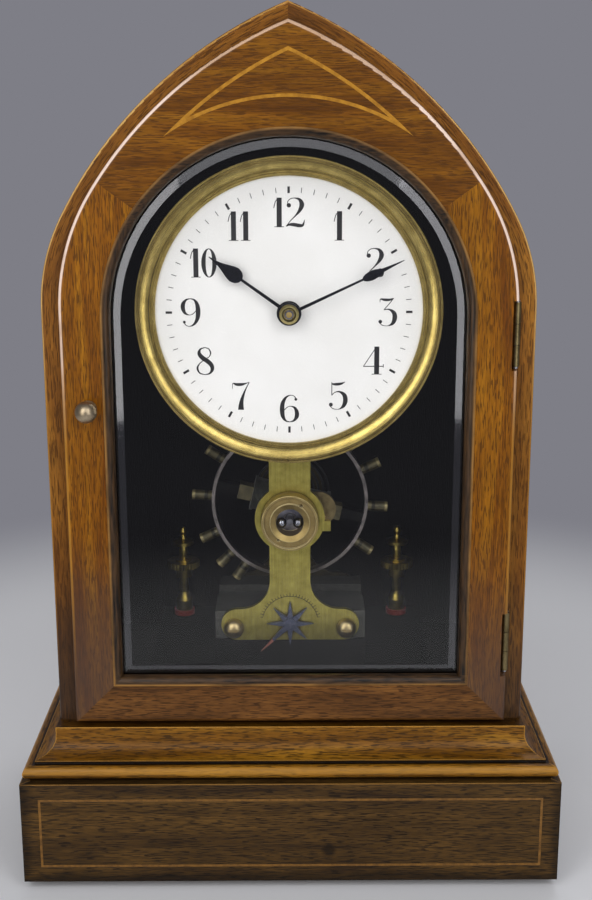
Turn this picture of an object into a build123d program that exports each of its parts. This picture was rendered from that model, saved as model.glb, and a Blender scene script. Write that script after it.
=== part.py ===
from build123d import *
from math import acos, asin, cos, degrees, hypot, pi, radians, sin, sqrt, tan
import os

# A lancet mantel clock with an electric balance movement, in millimetres.
# X runs to the right, Y to the back and Z up; the origin is the middle of the footprint on the shelf.

# Base
PLINTH_WIDTH = 228.6
PLINTH_DEPTH = 142.0
PLINTH_HEIGHT = 45.5
PLINTH_BOARD = 12.0
FOOT_HEIGHT = 4.0
FOOT_RADIUS = 9.0
FOOT_INSET = 24.0
BOTTOM_BOARD = 6.0
BOTTOM_REBATE = 6.0
MOULDING_HEIGHT = 19.6
MOULDING_WIDTH = 28.0
MOULDING_STEP = 1.3
BEAD_RADIUS = 2.7
BEAD_INSET = 1.2
COVE_INSET = 5.9
COVE_LIFT = 7.9
COVE_RADIUS = 7.9
DECK_THICKNESS = 10.0
DECK_LEDGE = 6.0
STRINGING_WIDTH = 1.0
STRINGING_DEPTH = 0.6
STRINGING_SIDE_MARGIN = 8.0
STRINGING_EDGE_MARGIN = 7.4

# Case
CASE_SETBACK = 21.7
CASE_SIDE_SETBACK = 14.6
CASE_WALL = 16.0
SPRING_HEIGHT = 177.9
HAUNCH_RADIUS = 78.0
HAUNCH_ANGLE = 28.0
CROWN_RADIUS = 178.0
BACK_PANEL = 6.0
BACK_REBATE = 7.0
CASE_EDGE_RADIUS = 1.2

# Door
DOOR_BAND = 8.0
DOOR_THICKNESS = 6.7
DOOR_GAP = 0.3
DOOR_LIFT = 1.7
DOOR_EDGE_RADIUS = 2.0
DOOR_HAUNCH_GAIN = 9.0
DOOR_ANGLE_GAIN = 4.4
DOOR_CROWN_LOSS = 15.2
STILE_WIDTH = 16.6
RAIL_WIDTH = 16.6
ARCH_JOINT_ANGLE = 36.0
BEAD_WIDTH = 3.8
BEAD_DEPTH = 4.0
BEAD_RECESS = 0.3
BEAD_ROUND = 3.0
GLASS_BEVEL_WIDTH = 7.5
GLASS_BEVEL_DEPTH = 1.2
RETAINER_LAP = 3.2
RETAINER_THICKNESS = 3.5
INLAY_WIDTH = 1.3
INLAY_CROWN_INSET = 15.9
INLAY_LOW_MARGIN = 10.9

# Hinges and catch
HINGE_INSET = 0.3
HINGE_STANDOFF = 1.5
HINGE_LENGTH = 26.0
HINGE_BARREL = 1.7
HINGE_PIN = 0.8
HINGE_LEAF = 1.0
HINGE_LEAF_WIDTH = 7.2
LOWER_HINGE_HEIGHT = 36.3
UPPER_HINGE_DROP = 10.0
KNOB_RADIUS = 4.4
KNOB_STANDOFF = 6.7
KNOB_EDGE_DISTANCE = 10.7
KNOB_HEIGHT = 138.9
SPINDLE_RADIUS = 1.5
TONGUE_LENGTH = 9.5
TONGUE_HALF_WIDTH = 1.8
TONGUE_THICKNESS = 1.5
TONGUE_SETBACK = 2.3
MORTISE_CLEARANCE = 0.8

# Dial and hands
DIAL_BELOW_SPRING = 3.7
DIAL_SETBACK = 20.3
DIAL_RADIUS = 57.15
DIAL_THICKNESS = 1.2
SIGHT_RADIUS = 55.8
BEZEL_RADIUS = 63.9
BEZEL_REACH = 4.4
BEZEL_DEPTH = 6.0
BEZEL_FOOT_RADIUS = 2.0
HOUR_HAND_LENGTH = 40.3
MINUTE_HAND_LENGTH = 52.1
HAND_THICKNESS = 0.8
HOUR_HAND_ANGLE = 305.4
MINUTE_HAND_ANGLE = 65.0
COLLET_RADIUS = 4.1
COLLET_SLOT = 0.5

# Movement frame
PLATE_SETBACK = 26.3
PLATE_THICKNESS = 2.5
PLATE_SPACING = 47.5
STRIP_HALF_WIDTH = 9.0
BALANCE_DROP = 91.7
BOSS_RADIUS = 15.35
FOOT_BAR_DROP = 140.75
FOOT_BAR_RADIUS = 7.25
FOOT_BAR_HALF_WIDTH = 30.75
FLARE_RADIUS = 13.0
STUD_SPACING = 50.2
STUD_RADIUS = 2.0
NUT_RADIUS = 4.25
NUT_HEIGHT = 4.0
BED_HALF_WIDTH = 33.5
BED_HEIGHT = 12.7
SEAT_HALF_WIDTH = 63.0
SEAT_SHELF_SHARE = 0.5687
SEAT_BACK_MARGIN = 8.5
UPPER_PLATE_RADIUS = 46.0
PILLAR_RADIUS = 3.0
PILLAR_SPREAD = 30.0
PILLAR_RISE = 22.0

# Wheels
MOTION_MODULE = 0.6
CANNON_TEETH = 10
MINUTE_WHEEL_TEETH = 30
MINUTE_PINION_TEETH = 8
HOUR_WHEEL_TEETH = 32
TRAIN_MODULE = 0.75
TRAIN_WHEEL_TEETH = 48
TRAIN_PINION_TEETH = 8
WHEEL_THICKNESS = 1.0
ARBOR_RADIUS = 1.2
PIVOT_RADIUS = 0.9
CANNON_RADIUS = 2.0
HOUR_PIPE_RADIUS = 3.2
RUNNING_CLEARANCE = 0.05
RATCHET_RADIUS = 8.0
RATCHET_TEETH = 30

# Balance
BALANCE_SETBACK = 56.3
RIM_RADIUS = 35.85
RIM_BREADTH = 1.5
RIM_DEPTH = 5.0
CORE_WIDTH = 4.4
CORE_ANGLE = 167.0
CORE_GAP_ANGLE = 262.0
RIM_CUT = 11.0
COIL_RADIUS = 8.0
COIL_START = 4.0
COIL_END = 17.5
CORE_NUT = 6.5
STAFF_RADIUS = 2.0
STAFF_PIVOT = 1.4
CAM_RADIUS = 3.0
SCREW_RADIUS = 2.3
SCREW_LENGTH = 9.0
SCREW_ANGLES = (-33.0, -4.0, 24.0, 43.0, 56.0)
HAIRSPRING_TURNS = 6
HAIRSPRING_PITCH = 2.3
HAIRSPRING_INNER = 5.4
HAIRSPRING_WIRE = 0.8
HAIRSPRING_OFFSET = 13.0
CUP_RADIUS = 12.35
CUP_REACH = 7.0
CUP_BORE = 6.05
BALL_RADIUS = 2.3
REGULATOR_DROP = 140.0
REGULATOR_RADIUS = 10.5
REGULATOR_POINTER = 18.4
REGULATOR_THICKNESS = 1.2
CONTACT_DISC_RADIUS = 8.0
CONTACT_EAR_WIDTH = 5.5
CONTACT_EAR_HEIGHT = 4.5

# Terminals and battery
TERMINAL_SPACING = 105.0
TERMINAL_DEPTH_SHARE = 0.7506
TERMINAL_HEIGHT = 45.0
TERMINAL_STUD = 2.2
TERMINAL_NUT_RADIUS = 8.0
LOWER_NUT_HEIGHT = 4.0
WASHER_RADIUS = 5.0
WASHER_THICKNESS = 2.5
BATTERY_RADIUS = 18.0
BATTERY_LENGTH = 128.0
BATTERY_SETBACK = 53.0
BATTERY_LIFT = 3.0
SADDLE_HALF_WIDTH = 6.0
SADDLE_HALF_DEPTH = 14.0
CAP_RADIUS = 4.0
CAP_LENGTH = 4.0
CONTACT_HALF_WIDTH = 6.0
STRIP_THICKNESS = 1.0

# Small fits
FIT = 0.2
SCREW_SHANK = 1.1
SCREW_HEAD = 2.2
WOOD_SCREW_LENGTH = 12.0
LEAF_SCREW_SHANK = 0.7
LEAF_SCREW_HEAD = 1.4
LEAF_SCREW_LENGTH = 8.0

# Levels worked out from the sizes above
HALF_WIDTH = PLINTH_WIDTH / 2
FRONT = -PLINTH_DEPTH / 2
BACK = PLINTH_DEPTH / 2
BOTTOM = FOOT_HEIGHT
PLINTH_TOP = BOTTOM + PLINTH_HEIGHT
DECK_TOP = PLINTH_TOP + MOULDING_HEIGHT
DECK_UNDER = DECK_TOP - DECK_THICKNESS
CASE_WIDTH = PLINTH_WIDTH - 2 * CASE_SIDE_SETBACK
CASE_HALF = CASE_WIDTH / 2
CASE_FRONT = FRONT + CASE_SETBACK
SPRING = DECK_TOP + SPRING_HEIGHT
WALL_INNER = CASE_HALF - CASE_WALL

DOOR_HALF = CASE_HALF - DOOR_BAND
DOOR_BACK = CASE_FRONT - DOOR_GAP
DOOR_FRONT = DOOR_BACK - DOOR_THICKNESS
DOOR_BOTTOM = DECK_TOP + DOOR_LIFT
OPENING_HALF = DOOR_HALF - STILE_WIDTH
OPENING_BOTTOM = DOOR_BOTTOM + RAIL_WIDTH
SIGHT_HALF = OPENING_HALF - BEAD_WIDTH
SIGHT_BOTTOM = OPENING_BOTTOM + BEAD_WIDTH
BEAD_BACK = DOOR_FRONT + BEAD_RECESS + BEAD_DEPTH
HINGE_X = DOOR_HALF - HINGE_INSET
HINGE_Y = CASE_FRONT - HINGE_STANDOFF
KNOB_X = -(DOOR_HALF - KNOB_EDGE_DISTANCE)
KNOB_Z = DECK_TOP + KNOB_HEIGHT
TONGUE_FRONT = CASE_FRONT + TONGUE_SETBACK
TONGUE_BACK = TONGUE_FRONT + TONGUE_THICKNESS

DIAL_Z = SPRING - DIAL_BELOW_SPRING
DIAL_FRONT = CASE_FRONT + DIAL_SETBACK
DIAL_BACK = DIAL_FRONT + DIAL_THICKNESS
PLATE_FRONT = CASE_FRONT + PLATE_SETBACK
PLATE_BACK = PLATE_FRONT + PLATE_THICKNESS
REAR_FRONT = PLATE_BACK + PLATE_SPACING
REAR_BACK = REAR_FRONT + PLATE_THICKNESS
BALANCE_Z = DIAL_Z - BALANCE_DROP
BALANCE_Y = CASE_FRONT + BALANCE_SETBACK
FOOT_BAR_Z = DIAL_Z - FOOT_BAR_DROP
FRAME_BOTTOM = FOOT_BAR_Z - FOOT_BAR_RADIUS
STUD_Z = FRAME_BOTTOM + 5.6
REGULATOR_Z = DIAL_Z - REGULATOR_DROP
SEAT_SHELF_TOP = DECK_TOP + SEAT_SHELF_SHARE * (FRAME_BOTTOM - DECK_TOP)
TERMINAL_Y = CASE_FRONT + TERMINAL_DEPTH_SHARE * (BACK - CASE_FRONT)

MOTION_CENTRES = MOTION_MODULE * (CANNON_TEETH + MINUTE_WHEEL_TEETH) / 2
TRAIN_CENTRES = TRAIN_MODULE * (TRAIN_WHEEL_TEETH + TRAIN_PINION_TEETH) / 2
INTERMEDIATE_Z = DIAL_Z - TRAIN_CENTRES
RATCHET_Z = INTERMEDIATE_Z - TRAIN_CENTRES
HOUR_PLANE = DIAL_BACK + 0.7
MINUTE_PLANE = PLATE_FRONT - 0.8 - WHEEL_THICKNESS
CENTRE_PLANE = PLATE_BACK + 3.5
INTERMEDIATE_PLANE = CENTRE_PLANE + WHEEL_THICKNESS + 2.3
RATCHET_PLANE = INTERMEDIATE_PLANE + WHEEL_THICKNESS + 4.5
HOUR_HAND_FRONT = DIAL_FRONT - 4.0
MINUTE_HAND_FRONT = HOUR_HAND_FRONT - 2.6
COLLET_FRONT = MINUTE_HAND_FRONT - 1.4
ARBOR_TIP = COLLET_FRONT - 0.6


# Shared helpers
def upright(face, front, back):
    """Stand an (x, z) face up and give it depth from the front plane to the back plane."""
    return extrude(Plane.XZ.offset(-back) * face, amount=back - front)


def outline(points):
    """Close a list of points into a face."""
    return make_face(Polyline(*points, close=True))


def disc(radius, x, z, front, back):
    """A round bar along Y."""
    return upright(Pos(x, z) * Circle(radius), front, back)


def block(x0, x1, y0, y1, z0, z1):
    """A box given by its six faces."""
    middle = Pos((x0 + x1) / 2, (y0 + y1) / 2, (z0 + z1) / 2)
    return middle * Box(abs(x1 - x0), abs(y1 - y0), abs(z1 - z0))


def rod(radius, x, y, z0, z1):
    """A round bar along Z."""
    return Pos(x, y, (z0 + z1) / 2) * Cylinder(radius, z1 - z0)


def turned(points, x, z):
    """Turn a profile of (radius, y) points about an axis along Y."""
    return Pos(x, 0, z) * revolve(outline(points), Axis.Y)


def turned_upright(points, x, y):
    """Turn a profile of (radius, z) points about an axis along Z."""
    return Pos(x, y, 0) * revolve(Plane.XZ * outline(points), Axis.Z)


def arc_point(centre, radius, angle):
    """A point on a circle, with the angle in degrees from +X."""
    return (centre[0] + radius * cos(radians(angle)), centre[1] + radius * sin(radians(angle)))


def group(pieces):
    """Separate solids that share one node."""
    return Compound(children=[solid for piece in pieces for solid in piece.solids()])


# Outlines
def pointed_arch(half, small, turn, large, bottom):
    """A pointed arch of two radii on each side; the small one ends at the turn angle."""
    haunch = (half - small, SPRING)
    crown = arc_point(haunch, small - large, turn)
    top_angle = degrees(acos(-crown[0] / large))
    knee = arc_point(haunch, small, turn)
    apex = arc_point(crown, large, top_angle)
    right = [
        Line((0, bottom), (half, bottom)),
        Line((half, bottom), (half, SPRING)),
        ThreePointArc((half, SPRING), arc_point(haunch, small, turn / 2), knee),
        ThreePointArc(knee, arc_point(crown, large, (turn + top_angle) / 2), apex),
    ]
    left = [mirror(edge, Plane.YZ) for edge in right]
    return make_face(right + left)


def lancet(inset, bottom):
    """The outline of the case, moved inwards by the inset, standing on the bottom level."""
    return pointed_arch(
        CASE_HALF - inset, HAUNCH_RADIUS - inset, HAUNCH_ANGLE, CROWN_RADIUS - inset, bottom)


def door_outline():
    """The outline of the door, a little fuller in the haunches than the case."""
    small = HAUNCH_RADIUS + DOOR_HAUNCH_GAIN
    turn = HAUNCH_ANGLE + DOOR_ANGLE_GAIN
    return pointed_arch(DOOR_HALF, small, turn, CROWN_RADIUS - DOOR_CROWN_LOSS, DOOR_BOTTOM)


def round_arch(half, bottom):
    """A round-headed opening about the dial's centre."""
    top = ThreePointArc((half, DIAL_Z), (0, DIAL_Z + half), (-half, DIAL_Z))
    sides = Polyline((-half, DIAL_Z), (-half, bottom), (half, bottom), (half, DIAL_Z))
    return make_face([*top.edges(), *sides.edges()])


def gear(teeth, module, tip, root, phase):
    """A spur gear face with involute flanks thinned for backlash, a tooth at the phase angle."""
    pitch = teeth * module / 2
    base = pitch * cos(radians(20))
    levels = [pitch - root * module, max(base, pitch - root * module), pitch, pitch + tip * module]
    half_pitch = 0.84 * 90 / teeth + degrees(tan(radians(20)) - radians(20))
    points = []
    for tooth in range(teeth):
        middle = phase + tooth * 360 / teeth
        flank = []
        for level in levels:
            pressure = acos(min(1.0, base / max(level, base)))
            flank.append((level, half_pitch - degrees(tan(pressure) - pressure)))
        points += [arc_point((0, 0), level, middle - half) for level, half in flank]
        points += [arc_point((0, 0), level, middle + half) for level, half in reversed(flank)]
    following = points[1:] + points[:1]
    distinct = [p for p, q in zip(points, following) if hypot(p[0] - q[0], p[1] - q[1]) > 1e-6]
    return outline(distinct)


def wheel(teeth, module, phase):
    """A driving wheel, short at the tip so that it clears a small pinion."""
    return gear(teeth, module, 0.5, 0.9, phase)


def pinion(teeth, module, phase):
    """A small driven pinion."""
    return gear(teeth, module, 0.6, 0.85, phase)


# Base
def plinth_solid(points, top):
    """A plinth board from its plan, rebated below for the bottom board."""
    board = Pos(0, 0, BOTTOM) * extrude(outline(points), amount=top - BOTTOM)
    lap = HALF_WIDTH - BOTTOM_REBATE
    seat = block(-lap, lap, FRONT + BOTTOM_REBATE, BACK - BOTTOM_REBATE, BOTTOM, BOTTOM + BOTTOM_BOARD)
    return board - seat


def bottom_screw_places():
    """Where the bottom board is screwed up into the plinth boards."""
    side = HALF_WIDTH - (BOTTOM_REBATE + PLINTH_BOARD) / 2
    return [(x, y) for x in (-side, side) for y in (FRONT / 2, BACK / 2)]


def bottom_screws():
    """Screws with their heads sunk in the bottom board."""
    head_top = BOTTOM + SCREW_SHANK
    made = []
    for x, y in bottom_screw_places():
        shank = rod(SCREW_SHANK, x, y, head_top, BOTTOM + BOTTOM_BOARD + WOOD_SCREW_LENGTH)
        made.append(rod(SCREW_HEAD, x, y, BOTTOM, head_top) + shank)
    return made


def plinth_stringing():
    """The pale line let into the front of the plinth."""
    wide = PLINTH_WIDTH - 2 * STRINGING_SIDE_MARGIN
    high = PLINTH_HEIGHT - 2 * STRINGING_EDGE_MARGIN
    line = Rectangle(wide + STRINGING_WIDTH, high + STRINGING_WIDTH)
    line -= Rectangle(wide - STRINGING_WIDTH, high - STRINGING_WIDTH)
    return upright(Pos(0, BOTTOM + PLINTH_HEIGHT / 2) * line, FRONT, FRONT + STRINGING_DEPTH)


def plinth_nodes():
    """The boards of the plinth, mitred at the front corners."""
    inner = HALF_WIDTH - PLINTH_BOARD
    mitre = FRONT + PLINTH_BOARD
    rear = BACK - PLINTH_BOARD
    front = plinth_solid(
        [(-HALF_WIDTH, FRONT), (HALF_WIDTH, FRONT), (inner, mitre), (-inner, mitre)], PLINTH_TOP)
    left = plinth_solid(
        [(-HALF_WIDTH, FRONT), (-inner, mitre), (-inner, BACK), (-HALF_WIDTH, BACK)], PLINTH_TOP)
    back = plinth_solid([(-inner, rear), (inner, rear), (inner, BACK), (-inner, BACK)], PLINTH_TOP)
    upper = HALF_WIDTH - MOULDING_WIDTH
    back += block(-upper, upper, rear, BACK, PLINTH_TOP, DECK_UNDER)
    screws = bottom_screws()
    left -= screws
    right = mirror(left, Plane.YZ)
    inlay = plinth_stringing()
    return {
        "plinth_front": front - inlay,
        "plinth_sides": group([left, right]),
        "plinth_back": back,
        "plinth_stringing": inlay,
    }


def moulding_profile():
    """Section of the base moulding as (inset from the plinth's face, height)."""
    shoulder = BEAD_INSET + BEAD_RADIUS
    bead = PLINTH_TOP + MOULDING_STEP
    bead_top = bead + 2 * BEAD_RADIUS
    cove = PLINTH_TOP + COVE_LIFT
    cove_inset = COVE_INSET + COVE_RADIUS
    bend = arc_point((COVE_INSET, cove + COVE_RADIUS), COVE_RADIUS, -45)
    upper = MOULDING_WIDTH - DECK_LEDGE
    edges = [
        Line((shoulder, PLINTH_TOP), (shoulder, bead)),
        ThreePointArc((shoulder, bead), (BEAD_INSET, bead + BEAD_RADIUS), (shoulder, bead_top)),
        Line((shoulder, bead_top), (COVE_INSET, bead_top)),
        Line((COVE_INSET, bead_top), (COVE_INSET, cove)),
        ThreePointArc((COVE_INSET, cove), bend, (cove_inset, cove + COVE_RADIUS)),
        Line((cove_inset, cove + COVE_RADIUS), (cove_inset, DECK_TOP)),
        Line((cove_inset, DECK_TOP), (upper, DECK_TOP)),
        Line((upper, DECK_TOP), (upper, DECK_UNDER)),
        Line((upper, DECK_UNDER), (MOULDING_WIDTH, DECK_UNDER)),
        Line((MOULDING_WIDTH, DECK_UNDER), (MOULDING_WIDTH, PLINTH_TOP)),
        Line((MOULDING_WIDTH, PLINTH_TOP), (shoulder, PLINTH_TOP)),
    ]
    return make_face(edges)


def base_moulding():
    """Three lengths of moulding, mitred at the front corners."""
    profile = moulding_profile()
    inner = HALF_WIDTH - MOULDING_WIDTH
    mitre = FRONT + MOULDING_WIDTH
    across = Plane(origin=(-HALF_WIDTH, FRONT, 0), x_dir=(0, 1, 0), z_dir=(1, 0, 0))
    along = Plane(origin=(-HALF_WIDTH, BACK, 0), x_dir=(1, 0, 0), z_dir=(0, -1, 0))
    front_plan = outline([(-HALF_WIDTH, FRONT), (HALF_WIDTH, FRONT), (inner, mitre), (-inner, mitre)])
    left_plan = outline([(-HALF_WIDTH, FRONT), (-inner, mitre), (-inner, BACK), (-HALF_WIDTH, BACK)])
    front = extrude(across * profile, amount=PLINTH_WIDTH) & extrude(front_plan, amount=2 * DECK_TOP)
    left = extrude(along * profile, amount=PLINTH_DEPTH) & extrude(left_plan, amount=2 * DECK_TOP)
    return group([front, left, mirror(left, Plane.YZ)])


def bottom_board():
    """The removable board under the plinth, with two saddles for the cell."""
    lap = HALF_WIDTH - BOTTOM_REBATE - FIT
    front = FRONT + BOTTOM_REBATE + FIT
    top = BOTTOM + BOTTOM_BOARD
    board = block(-lap, lap, front, -front, BOTTOM, top)
    cell = battery_place()
    wide = SADDLE_HALF_WIDTH
    deep = SADDLE_HALF_DEPTH
    for x in (-BATTERY_LENGTH / 4, BATTERY_LENGTH / 4):
        high = cell[1] - BATTERY_RADIUS / 2
        board += block(x - wide, x + wide, cell[0] - deep, cell[0] + deep, top, high)
    along = Rot(0, 90, 0) * Cylinder(BATTERY_RADIUS, PLINTH_WIDTH)
    board -= Pos(0, *cell) * along
    return board - bottom_screws()


def feet():
    """Four round pads under the bottom board."""
    x = HALF_WIDTH - FOOT_INSET
    y = BACK - FOOT_INSET
    pad = Cylinder(FOOT_RADIUS, FOOT_HEIGHT)
    pad = fillet(pad.edges().group_by(Axis.Z)[0], FOOT_HEIGHT / 4)
    pad = Pos(0, 0, FOOT_HEIGHT / 2) * pad
    return group([Pos(sx * x, sy * y, 0) * pad for sx in (-1, 1) for sy in (-1, 1)])


def seat_screws():
    """Two long screws from under the deck, through the seat, into the bed plate."""
    made = []
    for x in (-BED_HALF_WIDTH / 2, BED_HALF_WIDTH / 2):
        y = REAR_FRONT - 6
        head = rod(2 * STUD_RADIUS, x, y, DECK_UNDER - 2, DECK_UNDER)
        made.append(head + rod(STUD_RADIUS, x, y, DECK_UNDER, FRAME_BOTTOM + BED_HEIGHT / 2))
    return made


def deck_board():
    """The top board of the base, which is the floor of the case."""
    half = HALF_WIDTH - MOULDING_WIDTH + DECK_LEDGE - FIT
    board = block(-half, half, FRONT + MOULDING_WIDTH - DECK_LEDGE + FIT, BACK, DECK_UNDER, DECK_TOP)
    for x in terminal_places():
        board -= rod(TERMINAL_STUD, x, TERMINAL_Y, DECK_UNDER, DECK_TOP)
    return board - seat_screws()


# Case
def case_ring():
    """The whole shell of the case, rebated at the back for the panel."""
    slab = upright(lancet(0, DECK_TOP), CASE_FRONT, BACK)
    face = slab.faces().sort_by(Axis.Y)[0]
    slab = fillet(face.edges().filter_by(lambda edge: edge.center().Z > DECK_TOP + 1), CASE_EDGE_RADIUS)
    shell = slab - upright(lancet(CASE_WALL, BOTTOM), CASE_FRONT, BACK)
    return shell - upright(lancet(CASE_WALL - BACK_REBATE, BOTTOM), BACK - BACK_PANEL, BACK)


def back_screws():
    """Screws along both edges of the back panel."""
    x = WALL_INNER + BACK_REBATE / 2
    neck = BACK - SCREW_SHANK
    made = []
    for side in (-x, x):
        for z in (DECK_TOP + 0.15 * SPRING_HEIGHT, DECK_TOP + SPRING_HEIGHT / 2, SPRING - 25):
            shank = disc(SCREW_SHANK, side, z, BACK - BACK_PANEL - WOOD_SCREW_LENGTH, neck)
            made.append(disc(SCREW_HEAD, side, z, neck, BACK) + shank)
    return made


def case_nodes():
    """Walls, arch halves and the panel that closes the back."""
    shell = case_ring()
    screws = back_screws()
    lower = block(-CASE_WIDTH, 0, FRONT, BACK, 0, SPRING)
    upper = block(-CASE_WIDTH, 0, FRONT, BACK, SPRING, SPRING + CASE_WIDTH)
    left = (shell & lower) - screws
    right = mirror(left, Plane.YZ)
    arch = shell & upper
    hinge_cuts = [case_leaf_pocket(z) for z in hinge_levels()] + case_hinge_screws()
    panel = upright(lancet(CASE_WALL - BACK_REBATE + FIT, DECK_TOP), BACK - BACK_PANEL, BACK)
    return {
        "case_wall_left": left - catch_mortise(),
        "case_wall_right": right - hinge_cuts,
        "case_arch_left": arch,
        "case_arch_right": mirror(arch, Plane.YZ) - hinge_cuts,
        "back_panel": panel - screws,
    }


# Door
def door_frame():
    """The whole door frame before it is cut at the joints."""
    slab = upright(door_outline(), DOOR_FRONT, DOOR_BACK)
    face = slab.faces().sort_by(Axis.Y)[0]
    slab = fillet(face.edges(), DOOR_EDGE_RADIUS)
    return slab - upright(round_arch(OPENING_HALF, OPENING_BOTTOM), DOOR_FRONT, DOOR_BACK)


def door_inlay():
    """The pale curved triangle let into the arch rail."""
    haunch = (CASE_HALF - HAUNCH_RADIUS, SPRING)
    crown = arc_point(haunch, HAUNCH_RADIUS - CROWN_RADIUS, HAUNCH_ANGLE)
    centre = (0, DIAL_Z)
    upper = CROWN_RADIUS - INLAY_CROWN_INSET
    lower = OPENING_HALF + INLAY_LOW_MARGIN
    span = hypot(crown[0], crown[1] - DIAL_Z)
    lean = degrees(asin((DIAL_Z - crown[1]) / span))
    low_angle = lean + degrees(acos((upper ** 2 - lower ** 2 + span ** 2) / (2 * upper * span)))
    top_angle = degrees(acos(-crown[0] / upper))
    apex = arc_point(crown, upper, top_angle)
    corner = arc_point(crown, upper, low_angle)
    side = ThreePointArc(apex, arc_point(crown, upper, (top_angle + low_angle) / 2), corner)
    lower = ThreePointArc(corner, arc_point(centre, lower, 90), (-corner[0], corner[1]))
    field = make_face([side, lower, mirror(side, Plane.YZ)])
    line = field - offset(field, -INLAY_WIDTH, kind=Kind.INTERSECTION)
    return upright(line, DOOR_FRONT, DOOR_FRONT + STRINGING_DEPTH)


def door_wood():
    """Stiles and rails, cut apart at the joints and fitted with their hardware holes."""
    frame = door_frame()
    reach = CASE_WIDTH
    spread = arc_point((0, DIAL_Z), reach, ARCH_JOINT_ANGLE)
    high = DIAL_Z + reach
    top = [(0, DIAL_Z), spread, (spread[0], high), (-spread[0], high), (-spread[0], spread[1])]
    drop = reach * RAIL_WIDTH / STILE_WIDTH
    low = [
        (-OPENING_HALF, OPENING_BOTTOM),
        (OPENING_HALF, OPENING_BOTTOM),
        (OPENING_HALF + reach, OPENING_BOTTOM - drop),
        (-OPENING_HALF - reach, OPENING_BOTTOM - drop),
    ]
    arch_zone = upright(outline(top), DOOR_FRONT, DOOR_BACK)
    rail_zone = upright(outline(low), DOOR_FRONT, DOOR_BACK)
    inlay = door_inlay()
    sides = frame - arch_zone - rail_zone
    left, right = sides.solids().sort_by(Axis.X)
    left = Part(left.wrapped) - disc(SPINDLE_RADIUS + RUNNING_CLEARANCE, KNOB_X, KNOB_Z, FRONT, BACK)
    right = Part(right.wrapped) - [door_leaf_pocket(z) for z in hinge_levels()]
    right -= door_hinge_screws()
    return {
        "door_stile_left": left,
        "door_stile_right": right,
        "door_rail_bottom": frame & rail_zone,
        "door_rail_arch": (frame & arch_zone) - inlay,
        "door_inlay": inlay,
    }


def sight_bead():
    """The dark bead round the glass, rounded over towards it."""
    ring = round_arch(OPENING_HALF, OPENING_BOTTOM) - round_arch(SIGHT_HALF, SIGHT_BOTTOM)
    bead = upright(ring, DOOR_FRONT + BEAD_RECESS, BEAD_BACK)
    face = bead.faces().sort_by(Axis.Y)[0]
    return fillet(face.inner_wires()[0].edges(), BEAD_ROUND)


def door_glass():
    """The bevelled pane, seated between the bead and the back of the frame."""
    edge = OPENING_HALF - FIT
    foot = OPENING_BOTTOM + FIT
    rim = round_arch(edge, foot)
    field = round_arch(edge - GLASS_BEVEL_WIDTH, foot + GLASS_BEVEL_WIDTH)
    bend = BEAD_BACK + GLASS_BEVEL_DEPTH
    bevel = loft([Plane.XZ.offset(-bend) * rim, Plane.XZ.offset(-BEAD_BACK) * field], ruled=True)
    return upright(rim, bend, DOOR_BACK) + bevel


def glass_retainer():
    """The wooden frame behind the glass."""
    outer = round_arch(OPENING_HALF + RETAINER_LAP, OPENING_BOTTOM - RETAINER_LAP)
    ring = outer - round_arch(SIGHT_HALF, SIGHT_BOTTOM)
    return upright(ring, DOOR_BACK, DOOR_BACK + RETAINER_THICKNESS)


# Hinges and catch
def hinge_levels():
    """Height of the lower end of each hinge."""
    middles = (DECK_TOP + LOWER_HINGE_HEIGHT, SPRING - UPPER_HINGE_DROP)
    return [middle - HINGE_LENGTH / 2 for middle in middles]


def knuckle_levels(z):
    """Three knuckles to a hinge: the middle one belongs to the door."""
    third = HINGE_LENGTH / 3
    gap = FIT / 2
    middle = (z + third + gap, z + 2 * third - gap)
    return [(z, z + third - gap), middle, (z + 2 * third + gap, z + HINGE_LENGTH)]


def leaf_span():
    """The near and far edges of a hinge leaf in X."""
    return HINGE_X - HINGE_LEAF_WIDTH, HINGE_X - HINGE_BARREL - FIT


def case_leaf_pocket(z):
    """The bed for a case leaf and the back of the barrel."""
    far, near = leaf_span()
    half = sqrt(HINGE_BARREL ** 2 - min(HINGE_STANDOFF, HINGE_BARREL) ** 2) + 2 * FIT
    floor = CASE_FRONT + HINGE_LEAF
    leaf = block(far, near, CASE_FRONT, floor, z, z + HINGE_LENGTH)
    return leaf + block(near, HINGE_X + half, CASE_FRONT, floor, z - FIT, z + HINGE_LENGTH + FIT)


def door_leaf_pocket(z):
    """The bed for a door leaf and the notch for the barrel."""
    far, near = leaf_span()
    leaf = block(far, near, DOOR_BACK - HINGE_LEAF, DOOR_BACK, z, z + HINGE_LENGTH)
    button = HINGE_PIN + FIT
    notch = block(near - 2 * FIT, CASE_HALF, FRONT, CASE_FRONT, z - button, z + HINGE_LENGTH + button)
    return leaf + notch


def leaf_screw_places():
    """Two screws to a leaf."""
    x = HINGE_X - (HINGE_LEAF_WIDTH + HINGE_BARREL) / 2
    return [(x, z + HINGE_LENGTH * share) for z in hinge_levels() for share in (0.2, 0.8)]


def case_hinge_screws():
    """Sunk screws of the case leaves."""
    neck = CASE_FRONT + HINGE_LEAF / 2
    tip = neck + LEAF_SCREW_LENGTH
    return [
        disc(LEAF_SCREW_HEAD, x, z, CASE_FRONT, neck) + disc(LEAF_SCREW_SHANK, x, z, neck, tip)
        for x, z in leaf_screw_places()
    ]


def door_hinge_screws():
    """Sunk screws of the door leaves."""
    neck = DOOR_BACK - HINGE_LEAF / 2
    tip = DOOR_FRONT + DOOR_EDGE_RADIUS
    return [
        disc(LEAF_SCREW_HEAD, x, z, neck, DOOR_BACK) + disc(LEAF_SCREW_SHANK, x, z, tip, neck)
        for x, z in leaf_screw_places()
    ]


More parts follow.
